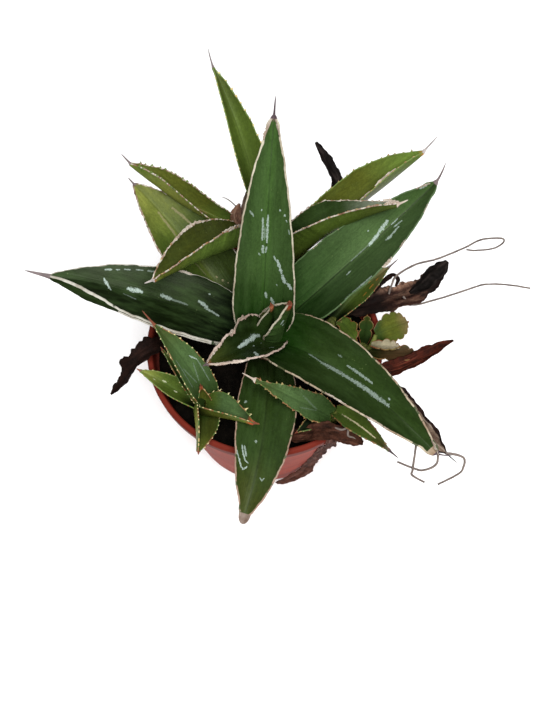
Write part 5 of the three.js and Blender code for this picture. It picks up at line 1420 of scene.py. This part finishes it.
# %% [markdown]
# ## Stems
# The stems hardly show, but light falls between the leaves onto them. They are stout, scarred by
# fallen leaves and wrapped in fibre. The back offset stands so high that the brown bracts round its
# foot show at the left of the tall leaf: they are small dead leaves, made as a lumpy bulb with a
# thin hair and a pale ribbon.

# %% Stems and bracts
STEMS = {
    "main_stem": (BARK, "bark", [[0, 2, 112, 13], [0, 2, 138, 15], [0, 2, 152, 14], [0, 3, 163, 9],
                                 [0, 3, 168, 4]]),
    "back_offset_stem": (BARK, "bark", [[-2, 58, 112, 7], [-2, 62, 134, 8], [-2, 70, 154, 8],
                                        [-2, 79, 174, 8], [-2, 83, 185, 5]]),
    "left_offset_stem": (GREEN_STEM, "stem", [[-45, -48, 112, 5], [-45, -48, 136, 6], [-45, -48, 146, 5.5],
                                              [-45, -48, 152, 3]]),
    "right_offset_stem": (GREEN_STEM, "stem", [[50, -54, 112, 5], [50, -54, 136, 6], [50, -55, 146, 5.5],
                                               [50, -56, 152, 3]]),
    "east_offset_stem": (GREEN_STEM, "stem", [[51, 17, 112, 5], [51, 17, 136, 6], [52, 19, 147, 5],
                                              [53, 20, 153, 3]]),
    "companion_stem": (GREEN_STEM, "stem", [[70, 2, 112, 2.5], [71, 2, 136, 2.5], [75, 1, 145, 2.5],
                                            [79, -4, 152, 2.3], [81, -4, 157, 2.1], [84, 3, 160, 1.6]]),
    "companion_side_stem": (GREEN_STEM, "stem", [[62, 16, 112, 2.2], [61, 17, 136, 2.2], [60, 19, 146, 2],
                                                 [59, 20, 150, 1.6]]),
}
BRACT_BULB = [[-6, 82, 183, 3], [-14, 83, 188, 3.5], [-19.5, 84.5, 192, 5], [-21.5, 87, 195.5, 4.8],
              [-20.5, 91, 198, 2.8], [-19, 94.5, 200, 0.8]]
BULB_HAIR = [[-20, 92, 196, 0.5], [-24, 100, 192, 0.5], [-29, 106, 190, 0.4], [-33, 108, 190, 0.25]]
PALE_BRACT = [[-17, 88, 193, 1.5, 0], [-15, 98, 195, 3, 10], [-13, 106, 197, 2.6, 20],
              [-12, 112, 199, 0.6, 20]]
BRACT_LOOK = dict(seed=82, rows=40, across=11, crease_depth=0.2, lump=0.2, curl=0.3)
for number, (name, (finish, slot, path)) in enumerate(STEMS.items()):
    skin = limb_skin(Skin(), path, 40, 60, 0, 0.07, 70 + number)
    if name == "back_offset_stem":
        limb_skin(skin, BRACT_BULB, 32, 60, 1, 0.1, 81)
        limb_skin(skin, BULB_HAIR, 7, 24, 2)
        ribbon_skin(skin, PALE_BRACT, 30, 0.9, BRACT_LOOK, 3, 3)
    skin.piece(name + "_barked", [finish, BRACT, FIBRE, WHITE_INNER], slot, name)
print("stems:", len(STEMS))

# %% [markdown]
# ## The pot
# A blow-thin plastic nursery pot, brick red, with a thick band round its mouth and six drain holes.
# It is turned: one profile, spun round the axis. The floor with its holes can't be turned, so it is
# filled between its outline and the holes by a constrained triangulation, above and below.

# %% Turn the pot
POT_HEIGHT = 155
POT_BASE_RADIUS = 68
POT_RIM_RADIUS = 90
POT_RIM_INNER_RADIUS = 85.4
POT_LIP_DEPTH = 12
POT_LIP_STEP = 3.5
POT_WALL = 2
POT_FLOOR = 3
DRAIN_RADIUS, DRAIN_RING, DRAIN_HOLES = 5, 46, 6
POT_STEPS = 240


def wall_radius(z):
    widening = POT_RIM_RADIUS - POT_LIP_STEP - POT_BASE_RADIUS
    return POT_BASE_RADIUS + widening * z / (POT_HEIGHT - POT_LIP_DEPTH)


def rounded(corners, steps=6):
    """Rounds a profile: each corner is (radius, height, rounding)."""
    out = []
    for k, (r, z, turn) in enumerate(corners):
        here = Vector((r, z))
        if not turn or k in (0, len(corners) - 1):
            out.append(here)
            continue
        before = (Vector(corners[k - 1][:2]) - here).normalized() * turn
        after = (Vector(corners[k + 1][:2]) - here).normalized() * turn
        for n in range(steps + 1):
            t = n / steps
            out.append((here + before) * (1 - t) ** 2 + here * 2 * t * (1 - t) + (here + after) * t ** 2)
    return out


def make_pot():
    foot = POT_HEIGHT - POT_LIP_DEPTH
    corners = [
        (wall_radius(POT_FLOOR) - POT_WALL, POT_FLOOR, 0), (wall_radius(foot - 2) - POT_WALL, foot - 2, 1.5),
        (POT_RIM_INNER_RADIUS, POT_HEIGHT - 1.5, 0.8), (POT_RIM_INNER_RADIUS + 1, POT_HEIGHT, 0.7),
        (POT_RIM_RADIUS - 1.5, POT_HEIGHT, 0.9), (POT_RIM_RADIUS, POT_HEIGHT - 1.8, 0.9),
        (POT_RIM_RADIUS - 0.6, foot + 1.2, 0.8), (wall_radius(foot - 1.5) + 0.2, foot - 1.2, 0.8),
        (wall_radius(70), 70, 0), (wall_radius(2), 2, 1.2), (POT_BASE_RADIUS - 2, 0, 0)]
    outline = rounded(corners)
    work = bmesh.new()
    turns = [2 * math.pi * k / POT_STEPS for k in range(POT_STEPS)]
    rings = [[work.verts.new((p.x * math.cos(a) * MM, p.x * math.sin(a) * MM, p.y * MM)) for a in turns]
             for p in outline]
    for low, high in zip(rings, rings[1:]):
        for k in range(POT_STEPS):
            n = (k + 1) % POT_STEPS
            work.faces.new((low[k], low[n], high[n], high[k]))
    holes = [2 * math.pi * h / DRAIN_HOLES for h in range(DRAIN_HOLES)]
    circle = [2 * math.pi * k / 32 for k in range(32)]
    for radius, height in ((outline[0].x, POT_FLOOR), (outline[-1].x, 0)):
        flat = [Vector((radius * math.cos(a), radius * math.sin(a))) for a in turns]
        loops = [list(range(POT_STEPS))]
        for h in holes:
            centre = Vector((math.cos(h), math.sin(h))) * DRAIN_RING
            loops.append(list(range(len(flat), len(flat) + len(circle))))
            flat += [centre + Vector((math.cos(a), math.sin(a))) * DRAIN_RADIUS for a in circle]
        edges = [(loop[k], loop[(k + 1) % len(loop)]) for loop in loops for k in range(len(loop))]
        spots, _, tris, *_ = geometry.delaunay_2d_cdt(flat, edges, [], 2, 1e-6)
        verts = [work.verts.new((p.x * MM, p.y * MM, height * MM)) for p in spots]
        for tri in tris:
            middle = sum((spots[i] for i in tri), Vector((0, 0))) / 3
            drains = [Vector((math.cos(h), math.sin(h))) * DRAIN_RING for h in holes]
            if min((middle - drain).length for drain in drains) > DRAIN_RADIUS * 0.99:
                work.faces.new([verts[i] for i in tri])
    for h in holes:
        x, y = math.cos(h) * DRAIN_RING, math.sin(h) * DRAIN_RING
        ring = [(x + math.cos(a) * DRAIN_RADIUS, y + math.sin(a) * DRAIN_RADIUS) for a in circle]
        rim = [[work.verts.new((p * MM, q * MM, z * MM)) for p, q in ring] for z in (0, POT_FLOOR)]
        for k in range(len(circle)):
            n = (k + 1) % len(circle)
            work.faces.new((rim[0][k], rim[0][n], rim[1][n], rim[1][k]))
    bmesh.ops.remove_doubles(work, verts=work.verts, dist=1e-6)
    mesh = bpy.data.meshes.new("nursery_pot")
    work.to_mesh(mesh)
    print("pot: open edges", sum(1 for e in work.edges if len(e.link_faces) != 2))
    work.free()
    mesh.polygons.foreach_set("use_smooth", np.ones(len(mesh.polygons), bool))
    mesh.set_sharp_from_angle(angle=math.radians(40))
    return mesh


# %% [markdown]
# The plastic is brick red where hands and rain keep it clean, mostly on the band, and veiled with
# pale dried mud below, in faint level bands left by watering. The veil is one mask made of height,
# stretched grain and broad clouds; it lightens the colour and dulls the gloss together. Fine specks
# vary the colour all over.

# %% Pot finish
def make_pot_finish():
    material, tree, shader = new_material("brick_red_plastic", Specular_IOR_Level=0.01)
    spot = place_of(tree)
    level = grain(spot, (0.06, 0.06, 1.6), 3.0, 0.6, 2.0)
    cloud = grain(spot, (0.35, 0.35, 0.5), 4.0, 0.6, 5.0)
    speck = grain(spot, (14, 14, 14), 2.0, 0.6, 1.0)
    below = ease(split(spot)[2], 14.6, 13.6)
    veil = below * ease(level, 0.35, 0.7).line(0.38, 0.12)
    veil = veil.math("MULTIPLY", cloud.line(0.9, 0.45), clamp=True)
    patches = ease(cloud, 0.35, 0.65)
    lip = blend(patches, paint(80, 27, 19), paint(94, 35, 26))
    wall = blend(patches, paint(104, 34, 24), paint(122, 45, 33))
    tone = blend(veil, blend(below, lip, wall), paint(170, 96, 84))
    tone = tone.vector("SCALE", Scale=speck.line(0.24, 0.88))
    spots = ease(cells(spot, (0.9, 0.9, 0.9)), 0.07, 0.03)
    tone = blend(spots * 0.7, tone, paint(78, 27, 22))
    dress(shader, tone, veil.line(0.3, 0.38), speck + level, 0.12, 0.0004)
    return material


pot_mesh = make_pot()
pot_mesh.materials.append(make_pot_finish())
settle("nursery_pot", pot_mesh, "pot", "pot")
print("pot faces:", len(pot_mesh.polygons))

# %% [markdown]
# ## The soil
# Dark, damp peat with clods, bits of bark and a little grit. The surface is a disc of rings pushed
# up and down by layered noise; loose crumbs are small closed lumps sunk into it. Its colour is
# close to black: damp peat is dark, and the shade under the leaves is painted into it as well.

# %% Soil
SOIL_LEVEL = 134
SOIL_HEAP = 4
SOIL_GAP = 0.4
SOIL_RINGS, SOIL_STEPS = 80, 200
CRUMBS = 260
CRUMB_SIZES = (0.8, 2.6)
CRUMB_LIFT, CRUMB_ROUGHNESS = 0.25, 0.3  # shares of a crumb's size


def soil_height(x, y):
    out = math.hypot(x, y) / POT_RIM_INNER_RADIUS
    clods = 1.2 * math.sin(x * 0.21 + 1) * math.cos(y * 0.17) + 0.7 * math.sin(x * 0.4 + y * 0.33)
    base = SOIL_LEVEL + SOIL_HEAP * (1 - out * out) + clods * (1 - out * 0.4)
    place = Vector((x, y, 0))
    return base + 1.6 * noise.fractal(place * 0.12, 0.8, 2.1, 5) + 0.5 * noise.noise(place * 0.9)


def soil_radius(z):
    """Radius at which the soil ends just short of the wall."""
    return wall_radius(z) - POT_WALL - SOIL_GAP


def make_soil():
    work = bmesh.new()
    edge = soil_radius(SOIL_LEVEL - 1)
    hub = work.verts.new((0, 0, soil_height(0, 0) * MM))
    rings = []
    for k in range(1, SOIL_RINGS + 1):
        radius = edge * (k / SOIL_RINGS) ** 0.9
        ring = []
        for n in range(SOIL_STEPS):
            a = 2 * math.pi * n / SOIL_STEPS
            x, y = radius * math.cos(a), radius * math.sin(a)
            ring.append(work.verts.new((x * MM, y * MM, soil_height(x, y) * MM)))
        rings.append(ring)
    for z in (POT_FLOOR + 60, POT_FLOOR + 0.35):
        side = soil_radius(z)
        rings.append([work.verts.new((side * math.cos(2 * math.pi * n / SOIL_STEPS) * MM,
                                      side * math.sin(2 * math.pi * n / SOIL_STEPS) * MM, z * MM))
                      for n in range(SOIL_STEPS)])
    for n in range(SOIL_STEPS):
        m = (n + 1) % SOIL_STEPS
        work.faces.new((hub, rings[0][n], rings[0][m]))
        for low, high in zip(rings, rings[1:]):
            work.faces.new((low[n], high[n], high[m], low[m]))
    work.faces.new(rings[-1][::-1])
    dice = np.random.default_rng(5)
    for _ in range(CRUMBS):
        r, a = edge * 0.97 * math.sqrt(dice.uniform()), dice.uniform(0, 6.283)
        x, y, size = r * math.cos(a), r * math.sin(a), dice.uniform(*CRUMB_SIZES)
        place = Matrix.Translation(Vector((x, y, soil_height(x, y) + size * CRUMB_LIFT)) * MM)
        turn = Matrix.Rotation(dice.uniform(0, 6.283), 4, Vector(dice.normal(size=3)))
        stretch = Matrix.Diagonal((*(dice.uniform(0.6, 1.3, 3) * size * MM), 1))
        made = bmesh.ops.create_icosphere(work, subdivisions=2, radius=1.0, matrix=place @ turn @ stretch)
        for vert in made["verts"]:
            vert.co += noise.noise_vector(vert.co * 900) * size * CRUMB_ROUGHNESS * MM
    mesh = bpy.data.meshes.new("peat_soil")
    work.to_mesh(mesh)
    work.free()
    mesh.polygons.foreach_set("use_smooth", np.ones(len(mesh.polygons), bool))
    return mesh


def make_soil_finish():
    material, tree, shader = new_material("damp_peat", Specular_IOR_Level=0.05)
    spot = place_of(tree)
    lump = grain(spot, (2.2, 2.2, 2.2), 5.0, 0.65, 1.0)
    grit = grain(spot, (15, 15, 15), 3.0, 0.6, 2.0)
    # Near black: the peat's own dark brown with painted shade from the leaves over it.
    tone = blend(ease(lump, 0.35, 0.7), paint(5, 4, 2), paint(16, 12, 8))
    tone = blend(ease(grit, 0.66, 0.76), tone, paint(38, 30, 22))
    dress(shader, tone, grit.line(0.2, 0.75), lump + grit, 0.8, 0.0015)
    return material


soil_mesh = make_soil()
soil_mesh.materials.append(make_soil_finish())
settle("peat_soil", soil_mesh, "soil", "soil")
print("soil faces:", len(soil_mesh.polygons))
